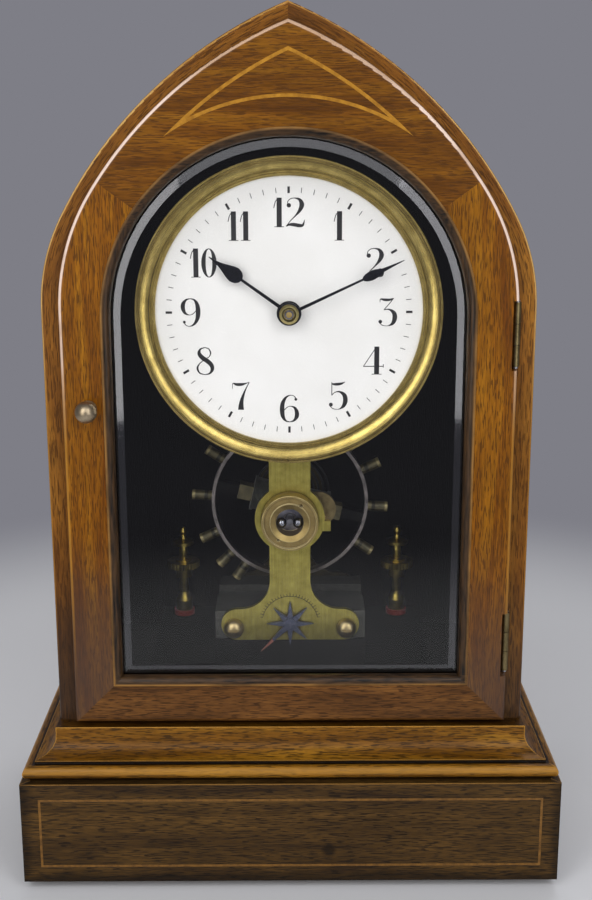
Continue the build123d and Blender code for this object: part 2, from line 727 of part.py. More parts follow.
def barrel(z0, z1, bore):
    """One bored knuckle."""
    return rod(HINGE_BARREL, HINGE_X, HINGE_Y, z0, z1) - rod(bore, HINGE_X, HINGE_Y, z0, z1)


def case_leaf(z):
    """A leaf let into the case wall, with the two outer knuckles."""
    far, near = leaf_span()
    leaf = block(far, near, CASE_FRONT, CASE_FRONT + HINGE_LEAF, z, z + HINGE_LENGTH)
    low, _, high = knuckle_levels(z)
    for z0, z1 in (low, high):
        web = block(near, HINGE_X, CASE_FRONT - HINGE_STANDOFF / 2, CASE_FRONT + HINGE_LEAF, z0, z1)
        web -= block(near, HINGE_X - HINGE_BARREL, FRONT, CASE_FRONT, z0, z1)
        leaf += web - rod(HINGE_PIN, HINGE_X, HINGE_Y, z0, z1)
        leaf += barrel(z0, z1, HINGE_PIN)
    return leaf - case_hinge_screws()


def door_leaf(z):
    """A leaf let into the back of the stile, with the middle knuckle."""
    far, near = leaf_span()
    leaf = block(far, near, DOOR_BACK - HINGE_LEAF, DOOR_BACK, z, z + HINGE_LENGTH)
    _, (z0, z1), _ = knuckle_levels(z)
    leaf += block(near, HINGE_X, DOOR_BACK - HINGE_LEAF, DOOR_BACK, z0, z1)
    bore = HINGE_PIN + RUNNING_CLEARANCE
    leaf -= rod(bore, HINGE_X, HINGE_Y, z0, z1)
    return leaf + barrel(z0, z1, bore) - door_hinge_screws()


def hinge_pin(z):
    """A pin with a small button at each end."""
    pin = rod(HINGE_PIN, HINGE_X, HINGE_Y, z, z + HINGE_LENGTH)
    for z0 in (z - HINGE_PIN, z + HINGE_LENGTH):
        pin += rod(1.5 * HINGE_PIN, HINGE_X, HINGE_Y, z0, z0 + HINGE_PIN)
    return pin


def hinge_nodes():
    """Leaves, pins and screws of both hinges."""
    levels = hinge_levels()
    return {
        "hinge_door_leaves": group([door_leaf(z) for z in levels]),
        "hinge_case_leaves": group([case_leaf(z) for z in levels]),
        "hinge_pins": group([hinge_pin(z) for z in levels]),
        "hinge_screws_door": group(door_hinge_screws()),
    }


def catch_mortise():
    """The slot in the left wall that takes the tongue when it is turned."""
    gap = MORTISE_CLEARANCE
    return block(
        KNOB_X - TONGUE_LENGTH - gap, -WALL_INNER, TONGUE_FRONT - gap / 2, TONGUE_BACK + gap,
        KNOB_Z - TONGUE_LENGTH - gap, KNOB_Z + TONGUE_HALF_WIDTH + gap)


def door_knob():
    """Ball knob, collar and the spindle that runs through the stile."""
    ball_y = DOOR_FRONT - KNOB_STANDOFF
    ball = Pos(KNOB_X, ball_y, KNOB_Z) * Sphere(KNOB_RADIUS)
    neck = disc(SPINDLE_RADIUS, KNOB_X, KNOB_Z, ball_y, TONGUE_BACK)
    collar = disc(0.8 * KNOB_RADIUS, KNOB_X, KNOB_Z, DOOR_FRONT - 1.1, DOOR_FRONT - FIT / 2)
    return ball + neck + collar


def catch_tongue():
    """The tongue that turns behind the case wall, hanging down when unlatched."""
    arm = Pos(KNOB_X, KNOB_Z - TONGUE_LENGTH / 2) * Rectangle(2 * TONGUE_HALF_WIDTH, TONGUE_LENGTH)
    face = arm + Pos(KNOB_X, KNOB_Z) * Circle(TONGUE_HALF_WIDTH)
    hub = disc(TONGUE_HALF_WIDTH, KNOB_X, KNOB_Z, DOOR_BACK + FIT / 2, TONGUE_BACK)
    tongue = upright(face, TONGUE_FRONT, TONGUE_BACK) + hub
    return tongue - disc(SPINDLE_RADIUS, KNOB_X, KNOB_Z, DOOR_BACK, BACK)


# Dial and hands
def dial():
    """The enamel disc."""
    return disc(DIAL_RADIUS, 0, DIAL_Z, DIAL_FRONT, DIAL_BACK) - disc(
        HOUR_PIPE_RADIUS + 2 * FIT, 0, DIAL_Z, DIAL_FRONT, DIAL_BACK)


def dial_bezel():
    """The stepped brass ring, with three feet that stand on the front plate."""
    lip = DIAL_FRONT - 0.3 * BEZEL_REACH
    crest = DIAL_FRONT - BEZEL_REACH
    band_in = SIGHT_RADIUS + 0.15 * (BEZEL_RADIUS - SIGHT_RADIUS)
    band_out = BEZEL_RADIUS - 2.1
    rim = BEZEL_RADIUS - 0.9
    groove = DIAL_FRONT - 0.72 * BEZEL_REACH
    bulge = (band_in + 0.42 * (band_out - band_in), lip + 0.66 * (crest - lip))
    back = DIAL_FRONT - BEZEL_REACH + BEZEL_DEPTH + FIT
    seat = DIAL_RADIUS + FIT / 2
    rim_front = DIAL_FRONT - 0.82 * BEZEL_REACH
    edges = [
        Polyline((SIGHT_RADIUS, DIAL_FRONT), (SIGHT_RADIUS, lip), (band_in, lip)),
        ThreePointArc((band_in, lip), bulge, (band_out, crest)),
        Polyline((band_out, crest), (band_out, groove), (rim, groove), (rim, rim_front)),
        Line((rim, rim_front), (BEZEL_RADIUS, rim_front)),
        Polyline((BEZEL_RADIUS, rim_front), (BEZEL_RADIUS, back), (seat, back), (seat, DIAL_FRONT)),
        Line((seat, DIAL_FRONT), (SIGHT_RADIUS, DIAL_FRONT)),
    ]
    ring = Pos(0, 0, DIAL_Z) * revolve(make_face([e for part in edges for e in part.edges()]), Axis.Y)
    for angle in (60, 180, 300):
        x, z = arc_point((0, DIAL_Z), bezel_foot_circle(), angle)
        ring += disc(BEZEL_FOOT_RADIUS, x, z, back - FIT, PLATE_FRONT)
    return ring


def bezel_foot_circle():
    """Radius of the circle on which the bezel's feet stand."""
    return (DIAL_RADIUS + BEZEL_RADIUS) / 2


def hand(profile, hub, bore, angle, front):
    """A hand from (distance, half width) points, pointing at an angle clockwise from twelve."""
    right = [(half, reach) for reach, half in profile]
    left = [(-half, reach) for reach, half in reversed(profile)]
    face = outline(right + left) + Circle(hub) - Circle(bore)
    return upright(Pos(0, DIAL_Z) * Rot(0, 0, -angle) * face, front, front + HAND_THICKNESS)


def hour_hand():
    """Hour hand with a teardrop."""
    length = HOUR_HAND_LENGTH
    shares = [
        (0.00, 0.75), (0.593, 0.55), (0.605, 1.7), (0.632, 2.65), (0.665, 3.15), (0.69, 3.25), (0.73, 2.9),
        (0.78, 2.15), (0.83, 1.4), (0.87, 0.9), (0.90, 0.65), (1.00, 0.12),
    ]
    profile = [(share * length, half) for share, half in shares]
    return hand(profile, 1.6 * HOUR_PIPE_RADIUS, HOUR_PIPE_RADIUS, HOUR_HAND_ANGLE, HOUR_HAND_FRONT)


def minute_hand():
    """Minute hand with a narrow leaf and a small barb."""
    length = MINUTE_HAND_LENGTH
    shares = [
        (0.00, 0.7), (0.643, 0.42), (0.652, 1.0), (0.675, 1.55), (0.70, 1.85), (0.73, 1.95), (0.765, 1.65),
        (0.79, 1.2), (0.80, 1.3), (0.81, 0.8), (0.88, 0.5), (1.00, 0.1),
    ]
    profile = [(share * length, half) for share, half in shares]
    return hand(profile, COLLET_RADIUS + 0.6, CANNON_RADIUS, MINUTE_HAND_ANGLE, MINUTE_HAND_FRONT)


def hand_collet():
    """The dished brass washer that holds the hands on, with a slotted boss round the arbor."""
    boss = 0.44 * COLLET_RADIUS
    well = (COLLET_FRONT + MINUTE_HAND_FRONT) / 2
    edge = [(ARBOR_RADIUS, ARBOR_TIP), (boss, ARBOR_TIP), (boss, well), (0.58 * COLLET_RADIUS, well)]
    edge += [(0.72 * COLLET_RADIUS, COLLET_FRONT), (0.82 * COLLET_RADIUS, COLLET_FRONT)]
    edge += [(COLLET_RADIUS, COLLET_FRONT + 0.8), (COLLET_RADIUS, MINUTE_HAND_FRONT)]
    return turned(edge + [(ARBOR_RADIUS, MINUTE_HAND_FRONT)], 0, DIAL_Z) - collet_slot()


def collet_slot():
    """The screwdriver slot across the middle of the hands."""
    return Pos(0, ARBOR_TIP, DIAL_Z) * Rot(0, 35, 0) * Box(2 * COLLET_RADIUS, 0.8, COLLET_SLOT)


# Movement frame
def stud_places():
    """The two studs through the feet of the front plate."""
    return [-STUD_SPACING / 2, STUD_SPACING / 2]


def frame_face():
    """The strip, boss and spreading feet that both plates share."""
    tips = FOOT_BAR_HALF_WIDTH - FOOT_BAR_RADIUS
    strip = (DIAL_Z + FOOT_BAR_Z) / 2
    face = Pos(0, strip) * Rectangle(2 * STRIP_HALF_WIDTH, DIAL_Z - FOOT_BAR_Z)
    face += Pos(0, FOOT_BAR_Z) * Rectangle(2 * tips, 2 * FOOT_BAR_RADIUS)
    crooks = [(side * STRIP_HALF_WIDTH, FOOT_BAR_Z + FOOT_BAR_RADIUS, 0) for side in (-1, 1)]
    corners = [face.vertices().sort_by_distance(crook)[0] for crook in crooks]
    face = fillet(corners, FLARE_RADIUS)
    for x in (-tips, tips):
        face += Pos(x, FOOT_BAR_Z) * Circle(FOOT_BAR_RADIUS)
    return face + Pos(0, BALANCE_Z) * Circle(BOSS_RADIUS)


def minute_post():
    """The stud on the front plate that carries the minute wheel."""
    return disc(ARBOR_RADIUS, MOTION_CENTRES, DIAL_Z, HOUR_PLANE - 0.3, PLATE_FRONT)


def pawl_pivot():
    """Centre of the pawl lever's post."""
    return STRIP_HALF_WIDTH - 2.0, RATCHET_Z - 2.6 * RATCHET_RADIUS


def contact_post_place():
    """Where the contact disc's post stands on the front plate's ear."""
    return BOSS_RADIUS - 0.2, BALANCE_Z - 3.3


def front_plate():
    """The brass front plate, with its ear, its posts and its holes."""
    ear = contact_post_place()
    face = frame_face() + Pos(0, DIAL_Z) * Circle(bezel_foot_circle() + BEZEL_FOOT_RADIUS)
    face += Pos(*ear) * Rectangle(CONTACT_EAR_WIDTH, CONTACT_EAR_HEIGHT)
    face -= Pos(0, BALANCE_Z) * Circle(CUP_RADIUS - 1)
    face -= Pos(0, DIAL_Z) * Circle(ARBOR_RADIUS + RUNNING_CLEARANCE)
    face -= Pos(0, REGULATOR_Z) * Circle(PIVOT_RADIUS + RUNNING_CLEARANCE)
    for z in (INTERMEDIATE_Z, RATCHET_Z):
        face -= Pos(0, z) * Circle(PIVOT_RADIUS + RUNNING_CLEARANCE)
    for x in stud_places():
        face -= Pos(x, STUD_Z) * Circle(STUD_RADIUS)
    plate = upright(face, PLATE_FRONT, PLATE_BACK) + minute_post()
    return plate + disc(ARBOR_RADIUS, *pawl_pivot(), PLATE_BACK, RATCHET_PLANE + WHEEL_THICKNESS + 0.6)


def back_plate():
    """The back plate, with two riveted pillars and the hairspring's stud."""
    face = frame_face() + Pos(0, DIAL_Z) * Circle(UPPER_PLATE_RADIUS)
    face -= Pos(0, BALANCE_Z) * Circle(STAFF_RADIUS + FIT)
    for z in (DIAL_Z, INTERMEDIATE_Z, RATCHET_Z):
        face -= Pos(0, z) * Circle(PIVOT_RADIUS + RUNNING_CLEARANCE)
    plate = upright(face, REAR_FRONT, REAR_BACK)
    for x in (-PILLAR_SPREAD, PILLAR_SPREAD):
        plate += disc(PILLAR_RADIUS, x, DIAL_Z + PILLAR_RISE, PLATE_BACK, REAR_FRONT)
    wire = HAIRSPRING_WIRE
    z = hairspring_end()[1]
    y = BALANCE_Y + HAIRSPRING_OFFSET
    return plate + block(-6 * wire, -wire, y - 2 * wire, REAR_FRONT, z - 2 * wire, z + 2 * wire)


def bed_plate():
    """The iron bed between the plates, hollowed under the balance, with the two front studs."""
    top = FRAME_BOTTOM + BED_HEIGHT
    bed = block(-BED_HALF_WIDTH, BED_HALF_WIDTH, PLATE_BACK, REAR_FRONT, FRAME_BOTTOM, top)
    sweep_low = BALANCE_Z - RIM_RADIUS - SCREW_LENGTH - 2.0
    half = RIM_DEPTH / 2 + 5.0
    if sweep_low < top:
        bed -= block(-BED_HALF_WIDTH, BED_HALF_WIDTH, BALANCE_Y - half, BALANCE_Y + half, sweep_low, top)
    for x in stud_places():
        bed += disc(STUD_RADIUS, x, STUD_Z, PLATE_FRONT - 0.6 * NUT_HEIGHT, PLATE_BACK)
    return bed - seat_screws()


def plate_nuts():
    """Domed nuts on the front studs, slotted across."""
    base = PLATE_FRONT - 0.4 * NUT_HEIGHT
    crest = PLATE_FRONT - NUT_HEIGHT
    dome = make_face([
        *Polyline((0, crest), (0, PLATE_FRONT), (NUT_RADIUS, PLATE_FRONT), (NUT_RADIUS, base)).edges(),
        ThreePointArc((NUT_RADIUS, base), (0.75 * NUT_RADIUS, crest + 0.25 * NUT_HEIGHT), (0, crest)),
    ])
    made = []
    for x in stud_places():
        nut = Pos(x, 0, STUD_Z) * revolve(dome, Axis.Y)
        nut -= disc(STUD_RADIUS, x, STUD_Z, PLATE_FRONT - 0.6 * NUT_HEIGHT, PLATE_FRONT)
        made.append(nut - block(x - 5, x + 5, crest - 1, crest + 0.5, STUD_Z - 0.4, STUD_Z + 0.4))
    return group(made)


def movement_seat():
    """The ebonised block that lifts the movement, with a shelf at each side for the terminals."""
    front = PLATE_FRONT + 0.3
    back = TERMINAL_Y + SEAT_BACK_MARGIN
    seat = block(-SEAT_HALF_WIDTH, SEAT_HALF_WIDTH, front, back, DECK_TOP, SEAT_SHELF_TOP)
    seat += block(-BED_HALF_WIDTH, BED_HALF_WIDTH, front, REAR_BACK, SEAT_SHELF_TOP, FRAME_BOTTOM)
    for x in terminal_places():
        seat -= rod(TERMINAL_STUD, x, TERMINAL_Y, DECK_TOP, SEAT_SHELF_TOP)
    return seat - seat_screws()


# Wheels
def centre_arbor():
    """Centre arbor with its wheel, and the cannon that carries the minute hand."""
    body = disc(ARBOR_RADIUS, 0, DIAL_Z, ARBOR_TIP, REAR_FRONT - 0.5) - collet_slot()
    body += disc(PIVOT_RADIUS, 0, DIAL_Z, REAR_FRONT - 0.5, REAR_BACK)
    body += disc(CANNON_RADIUS, 0, DIAL_Z, MINUTE_HAND_FRONT, MINUTE_PLANE + WHEEL_THICKNESS)
    cannon = pinion(CANNON_TEETH, MOTION_MODULE, 0)
    body += upright(Pos(0, DIAL_Z) * cannon, MINUTE_PLANE - 0.2, MINUTE_PLANE + WHEEL_THICKNESS + 0.2)
    centre = wheel(TRAIN_WHEEL_TEETH, TRAIN_MODULE, -90)
    return body + upright(Pos(0, DIAL_Z) * centre, CENTRE_PLANE, CENTRE_PLANE + WHEEL_THICKNESS)


def hour_wheel():
    """Hour wheel with the pipe that carries the hour hand."""
    face = wheel(HOUR_WHEEL_TEETH, MOTION_MODULE, 180 / HOUR_WHEEL_TEETH)
    body = upright(Pos(0, DIAL_Z) * face, HOUR_PLANE, HOUR_PLANE + WHEEL_THICKNESS)
    body += disc(HOUR_PIPE_RADIUS, 0, DIAL_Z, HOUR_HAND_FRONT, HOUR_PLANE)
    return body - disc(CANNON_RADIUS + RUNNING_CLEARANCE, 0, DIAL_Z, FRONT, BACK)


def minute_wheel():
    """Minute wheel and its pinion, turning on the front plate's stud."""
    place = Pos(MOTION_CENTRES, DIAL_Z)
    face = wheel(MINUTE_WHEEL_TEETH, MOTION_MODULE, 180 + 180 / MINUTE_WHEEL_TEETH)
    body = upright(place * face, MINUTE_PLANE, MINUTE_PLANE + WHEEL_THICKNESS)
    leaves = pinion(MINUTE_PINION_TEETH, MOTION_MODULE, 180)
    body += upright(place * leaves, HOUR_PLANE - 0.2, MINUTE_PLANE)
    return body - disc(ARBOR_RADIUS + RUNNING_CLEARANCE, MOTION_CENTRES, DIAL_Z, FRONT, BACK)


def train_arbor(z, pinion_plane):
    """An arbor between the plates with a pinion that meshes with the wheel above."""
    body = disc(ARBOR_RADIUS, 0, z, PLATE_BACK + 0.5, REAR_FRONT - 0.5)
    body += disc(PIVOT_RADIUS, 0, z, PLATE_FRONT + 0.3, REAR_BACK)
    leaves = pinion(TRAIN_PINION_TEETH, TRAIN_MODULE, 90 + 180 / TRAIN_PINION_TEETH)
    return body + upright(Pos(0, z) * leaves, pinion_plane - 0.6, pinion_plane + WHEEL_THICKNESS + 0.6)


def intermediate_wheel():
    """Arbor between the ratchet and the centre wheel."""
    face = wheel(TRAIN_WHEEL_TEETH, TRAIN_MODULE, -90)
    face = Pos(0, INTERMEDIATE_Z) * face
    body = upright(face, INTERMEDIATE_PLANE, INTERMEDIATE_PLANE + WHEEL_THICKNESS)
    return train_arbor(INTERMEDIATE_Z, CENTRE_PLANE) + body


def ratchet_wheel():
    """The saw-toothed wheel that the balance steps round."""
    points = []
    for tooth in range(RATCHET_TEETH):
        angle = tooth * 360 / RATCHET_TEETH
        points.append(arc_point((0, 0), RATCHET_RADIUS, angle))
        points.append(arc_point((0, 0), RATCHET_RADIUS - 0.8, angle + 1))
    saw = upright(Pos(0, RATCHET_Z) * outline(points), RATCHET_PLANE, RATCHET_PLANE + WHEEL_THICKNESS)
    return train_arbor(RATCHET_Z, INTERMEDIATE_PLANE) + saw


def pawl_lever():
    """The lever that reaches from the balance's cam up to the ratchet."""
    x, z = pawl_pivot()
    tip = arc_point((0, RATCHET_Z), 1.05 * RATCHET_RADIUS, -38)
    low = BALANCE_Z + CAM_RADIUS
    arm = ARBOR_RADIUS
    nose = (tip[0] + 1.8 * arm, tip[1] - arm / 2)
    face = outline([(x - arm, z), tip, nose, (x + 1.4 * arm, z), (x + 2 * arm, low), (x, low)])
    face += Pos(x, z) * Circle(2.2 * arm)
    face -= Pos(x, z) * Circle(ARBOR_RADIUS + RUNNING_CLEARANCE)
    return upright(face, RATCHET_PLANE, RATCHET_PLANE + WHEEL_THICKNESS)


# Balance
def about_balance(shape, front, back):
    """Give depth to a face drawn about the balance's axis."""
    return upright(Pos(0, BALANCE_Z) * shape, front, back)


def balance_rim():
    """The rim, cut in two, each half held at its middle by the core."""
    ring = Circle(RIM_RADIUS) - Circle(RIM_RADIUS - RIM_BREADTH)
    for angle in (CORE_GAP_ANGLE, CORE_GAP_ANGLE - 180):
        ends = [arc_point((0, 0), 2 * RIM_RADIUS, angle + side * RIM_CUT / 2) for side in (-1, 1)]
        ring -= outline([(0, 0)] + ends)
    ring = about_balance(ring, BALANCE_Y - RIM_DEPTH / 2, BALANCE_Y + RIM_DEPTH / 2)
    return group([ring - balance_screws()])


def balance_core():
    """The soft iron bar across the balance."""
    inner = RIM_RADIUS - RIM_BREADTH
    bar = Rot(0, 0, CORE_ANGLE) * Rectangle(2 * RIM_RADIUS, CORE_WIDTH)
    bar = about_balance(bar & Circle(inner), BALANCE_Y - CORE_WIDTH / 2, BALANCE_Y + CORE_WIDTH / 2)
    return bar - disc(STAFF_RADIUS, 0, BALANCE_Z, FRONT, BACK)


def along_core(piece):
    """Lay a piece that was built along X along the core instead."""
    return Pos(0, BALANCE_Y, BALANCE_Z) * Rot(0, -CORE_ANGLE, 0) * piece


def core_clearance():
    """The core's own section, to pass through what is threaded on it."""
    return Box(4 * RIM_RADIUS, CORE_WIDTH, CORE_WIDTH)


def balance_coils():
    """The two windings, one on each side of the staff, as wound cheeked bobbins."""
    middle = (COIL_START + COIL_END) / 2
    length = COIL_END - COIL_START
    made = []
    for side in (-1, 1):
        coil = Pos(side * middle, 0, 0) * Rot(0, 90, 0) * Cylinder(COIL_RADIUS - 0.6, length)
        for end in (COIL_START + 0.6, COIL_END - 0.6):
            coil += Pos(side * end, 0, 0) * Rot(0, 90, 0) * Cylinder(COIL_RADIUS, 1.2)
        made.append(along_core(coil - core_clearance()))
    return group(made)


def balance_nuts():
    """Square brass nuts that hold the bobbins on the core."""
    side_length = CORE_WIDTH + 2.4
    place = COIL_END + CORE_NUT / 2
    nuts = [Pos(side * place, 0, 0) * Box(CORE_NUT, side_length, side_length) for side in (-1, 1)]
    return group([along_core(nut - core_clearance()) for nut in nuts])


def balance_staff():
    """The staff with its cam and the hairspring's collet."""
    y = BALANCE_Y + HAIRSPRING_OFFSET
    collet = HAIRSPRING_INNER - HAIRSPRING_WIRE / 2 - 0.4
    neck = PLATE_BACK - 0.5
    tail = REAR_BACK
    body = disc(STAFF_RADIUS, 0, BALANCE_Z, neck, tail)
    body += disc(STAFF_PIVOT, 0, BALANCE_Z, PLATE_FRONT - 0.65 * CUP_REACH, tail + 6)
    body += disc(collet, 0, BALANCE_Z, y - 2, y + 2)
    cam = disc(CAM_RADIUS - 0.6, 0.6, BALANCE_Z, RATCHET_PLANE - 0.3, RATCHET_PLANE + WHEEL_THICKNESS + 0.3)
    return body + cam


def balance_screws():
    """Timing screws set radially in the rim."""
    head = Rot(0, 90, 0) * Cylinder(SCREW_RADIUS, SCREW_LENGTH)
    shank = Rot(0, 90, 0) * Cylinder(SCREW_RADIUS / 2, RIM_BREADTH)
    screw = Pos(RIM_RADIUS + SCREW_LENGTH / 2, 0, 0) * head
    screw += Pos(RIM_RADIUS - RIM_BREADTH / 2, 0, 0) * shank
    centre = Pos(0, BALANCE_Y, BALANCE_Z)
    return [centre * Rot(0, -angle - turn, 0) * screw for angle in SCREW_ANGLES for turn in (0, 180)]


def hairspring_arcs():
    """Half turns about two alternate centres, as (centre, radius, start angle)."""
    half_pitch = HAIRSPRING_PITCH / 2
    arcs = []
    for step in range(2 * HAIRSPRING_TURNS):
        centre = (0.0, BALANCE_Z + (0 if step % 2 == 0 else half_pitch))
        arcs.append((centre, HAIRSPRING_INNER + step * half_pitch, 90 + 180 * step))
    return arcs


def hairspring_end():
    """The outer end of the spiral, where the stud holds it."""
    centre, radius, start = hairspring_arcs()[-1]
    return arc_point(centre, radius, start + 180)


def hairspring():
    """The flat spiral, as one unbroken wire, with a short straight run at each end."""
    y = BALANCE_Y + HAIRSPRING_OFFSET
    run = HAIRSPRING_WIRE
    inner_z = BALANCE_Z + HAIRSPRING_INNER
    edges = [Line((run, y, inner_z), (0, y, inner_z))]
    for centre, radius, start in hairspring_arcs():
        points = [arc_point(centre, radius, start + turn) for turn in (0, 90, 180)]
        edges.append(ThreePointArc(*[(x, y, z) for x, z in points]))
    outer_z = hairspring_end()[1]
    edges.append(Line((0, y, outer_z), (-run, y, outer_z)))
    path = Wire(edges)
    section = Plane(origin=path @ 0, z_dir=path % 0) * Circle(HAIRSPRING_WIRE / 2)
    return sweep(section, path)


def hairspring_gap():
    """Least distance between turns, less the wire, measured on points."""
    samples = []
    for centre, radius, start in hairspring_arcs():
        samples += [arc_point(centre, radius, start + 9 * step) for step in range(20)]
    apart = [
        hypot(p[0] - q[0], p[1] - q[1])
        for i, p in enumerate(samples) for q in samples[i + 20:]
    ]
    return min(apart) - HAIRSPRING_WIRE


def bearing_cups():
    """The front eyepiece bearing with its spanner holes, and the plain rear bearing."""
    front = PLATE_FRONT - CUP_REACH
    body = CUP_RADIUS - 1
    floor = PLATE_BACK - 0.5
    profile = [
        (CUP_BORE, front + 1.6), (CUP_BORE + 2.6, front + 0.3), (CUP_BORE + 2.6, front + 1.2),
        (CUP_RADIUS - 0.9, front + 1.2), (CUP_RADIUS - 0.9, front), (CUP_RADIUS, front),
        (CUP_RADIUS, PLATE_FRONT), (body, PLATE_FRONT), (body, PLATE_BACK + 1.5),
        (STAFF_RADIUS + FIT, PLATE_BACK + 1.5), (STAFF_RADIUS + FIT, floor), (CUP_BORE, floor),
    ]
    eyepiece = turned(profile, 0, BALANCE_Z)
    for angle in (57, 237):
        x, z = arc_point((0, BALANCE_Z), (CUP_RADIUS + CUP_BORE) / 2, angle)
        eyepiece -= disc(0.7, x, z, front, front + 2.5)
    bore = STAFF_PIVOT + RUNNING_CLEARANCE
    relief = STAFF_RADIUS + 1.2
    end = REAR_BACK + CUP_REACH
    rear = [(bore, REAR_BACK + 0.4), (bore, end), (8, end), (10, REAR_BACK), (relief, REAR_BACK)]
    rear.append((relief, REAR_BACK + 0.4))
    return group([eyepiece, turned(rear, 0, BALANCE_Z)])


def bearing_balls():
    """Two steel balls under the front pivot."""
    y = PLATE_FRONT - 0.25 * CUP_REACH
    reach = CUP_BORE - BALL_RADIUS
    places = [arc_point((0, BALANCE_Z), reach, angle) for angle in (197, 343)]
    return group([Pos(x, y, z) * Sphere(BALL_RADIUS) for x, z in places])


def contact_disc():
    """The dull disc behind the boss that carries the contact, on its post."""
    x, z = contact_post_place()
    front = PLATE_BACK + 8.0
    plate = disc(CONTACT_DISC_RADIUS, x - 2.6, z + 4.7, front, front + 1.6)
    return plate + disc(1.5, x, z, PLATE_BACK, front + 1.6)


def regulator_star():
    """The eight-pointed regulator with one long pointer, pivoted in the front plate."""
    points = []
    for step in range(8):
        angle = 225 + 45 * step
        reach = REGULATOR_POINTER if step == 0 else REGULATOR_RADIUS
        points.append(arc_point((0, 0), reach, angle))
        points.append(arc_point((0, 0), 0.3 * REGULATOR_RADIUS, angle + 22.5))
    back = PLATE_FRONT - 0.3
    front = back - REGULATOR_THICKNESS
    star = upright(Pos(0, REGULATOR_Z) * outline(points), front, back)
    star += disc(0.25 * REGULATOR_RADIUS, 0, REGULATOR_Z, front - 0.8, back)
    return star + disc(PIVOT_RADIUS, 0, REGULATOR_Z, back, PLATE_BACK - 0.2)


# Terminals and battery
def terminal_places():
    """The two terminals, left and right."""
    return [-TERMINAL_SPACING / 2, TERMINAL_SPACING / 2]


def battery_place():
    """Depth and height of the cell's axis."""
    return CASE_FRONT + BATTERY_SETBACK, BOTTOM + BOTTOM_BOARD + BATTERY_RADIUS + BATTERY_LIFT


def terminal_level(share):
    """A height on the terminals as a share of their height above the seat's shelf."""
    return SEAT_SHELF_TOP + share * TERMINAL_HEIGHT


def terminal_posts():
    """Turned posts with a collar and a finial, and the nuts below the deck."""
    stud = TERMINAL_STUD
    nut_top = DECK_UNDER - STRIP_THICKNESS
    low = nut_top - LOWER_NUT_HEIGHT
    collar = SEAT_SHELF_TOP + WASHER_THICKNESS
    shares = [
        (1.91, 0.167), (1.36, 0.233), (1.0, 0.256), (1.0, 0.733), (0.82, 0.778), (2.45, 0.8), (2.45, 0.836),
        (0.91, 0.867), (0.64, 0.902), (0.91, 0.942), (0.64, 0.982), (0.0, 1.0),
    ]
    profile = [(0, low), (stud, low), (stud, collar), (1.91 * stud, collar)]
    profile += [(wide * stud, terminal_level(share)) for wide, share in shares]
    made = []
    for x in terminal_places():
        made.append(turned_upright(profile, x, TERMINAL_Y))
        nut = rod(2 * stud, x, TERMINAL_Y, low + stud / 2, nut_top)
        made.append(nut - rod(stud, x, TERMINAL_Y, low, nut_top))
    return group(made)


def terminal_nuts():
    """Knurled nuts on the posts."""
    y = TERMINAL_Y
    radius = TERMINAL_NUT_RADIUS
    low, flange, neck, top = (terminal_level(share) for share in (0.433, 0.544, 0.611, 0.638))
    teeth = [arc_point((0, 0), radius * (1 - 0.056 * (step % 2)), 6 * step) for step in range(60)]
    knurl = Pos(0, 0, flange) * extrude(outline(teeth), amount=neck - flange)
    made = []
    for x in terminal_places():
        nut = Pos(x, y, 0) * knurl + rod(radius / 2, x, y, low, flange)
        nut += rod(0.575 * radius, x, y, neck, top)
        made.append(nut - rod(TERMINAL_STUD, x, y, low, top))
    return group(made)


def terminal_washers():
    """Red fibre washers under the collars."""
    top = SEAT_SHELF_TOP + WASHER_THICKNESS
    made = []
    for x in terminal_places():
        washer = rod(WASHER_RADIUS, x, TERMINAL_Y, SEAT_SHELF_TOP, top)
        made.append(washer - rod(TERMINAL_STUD, x, TERMINAL_Y, SEAT_SHELF_TOP, top))
    return group(made)


def battery_cell():
    """A round cell lying across the plinth, with its cap to the right."""
    y, z = battery_place()
    along = Rot(0, 90, 0)
    body = Pos(-CAP_LENGTH / 2, y, z) * along * Cylinder(BATTERY_RADIUS, BATTERY_LENGTH - CAP_LENGTH)
    cap = Pos((BATTERY_LENGTH - CAP_LENGTH) / 2, y, z) * along * Cylinder(CAP_RADIUS, CAP_LENGTH)
    return body + cap


def battery_contacts():
    """Brass strips from the terminals to the ends of the cell."""
    y, z = battery_place()
    wide = CONTACT_HALF_WIDTH
    end = BATTERY_LENGTH / 2
    top = DECK_UNDER
    made = []
    for side, x in zip((-1, 1), terminal_places()):
        outer = side * (end + STRIP_THICKNESS)
        strip = block(x - side * wide, outer, y - wide, TERMINAL_Y + wide, top - STRIP_THICKNESS, top)
        strip += block(side * end, outer, y - wide, y + wide, z - wide, top)
        made.append(strip - rod(TERMINAL_STUD, x, TERMINAL_Y, top - STRIP_THICKNESS, top))
    return group(made)


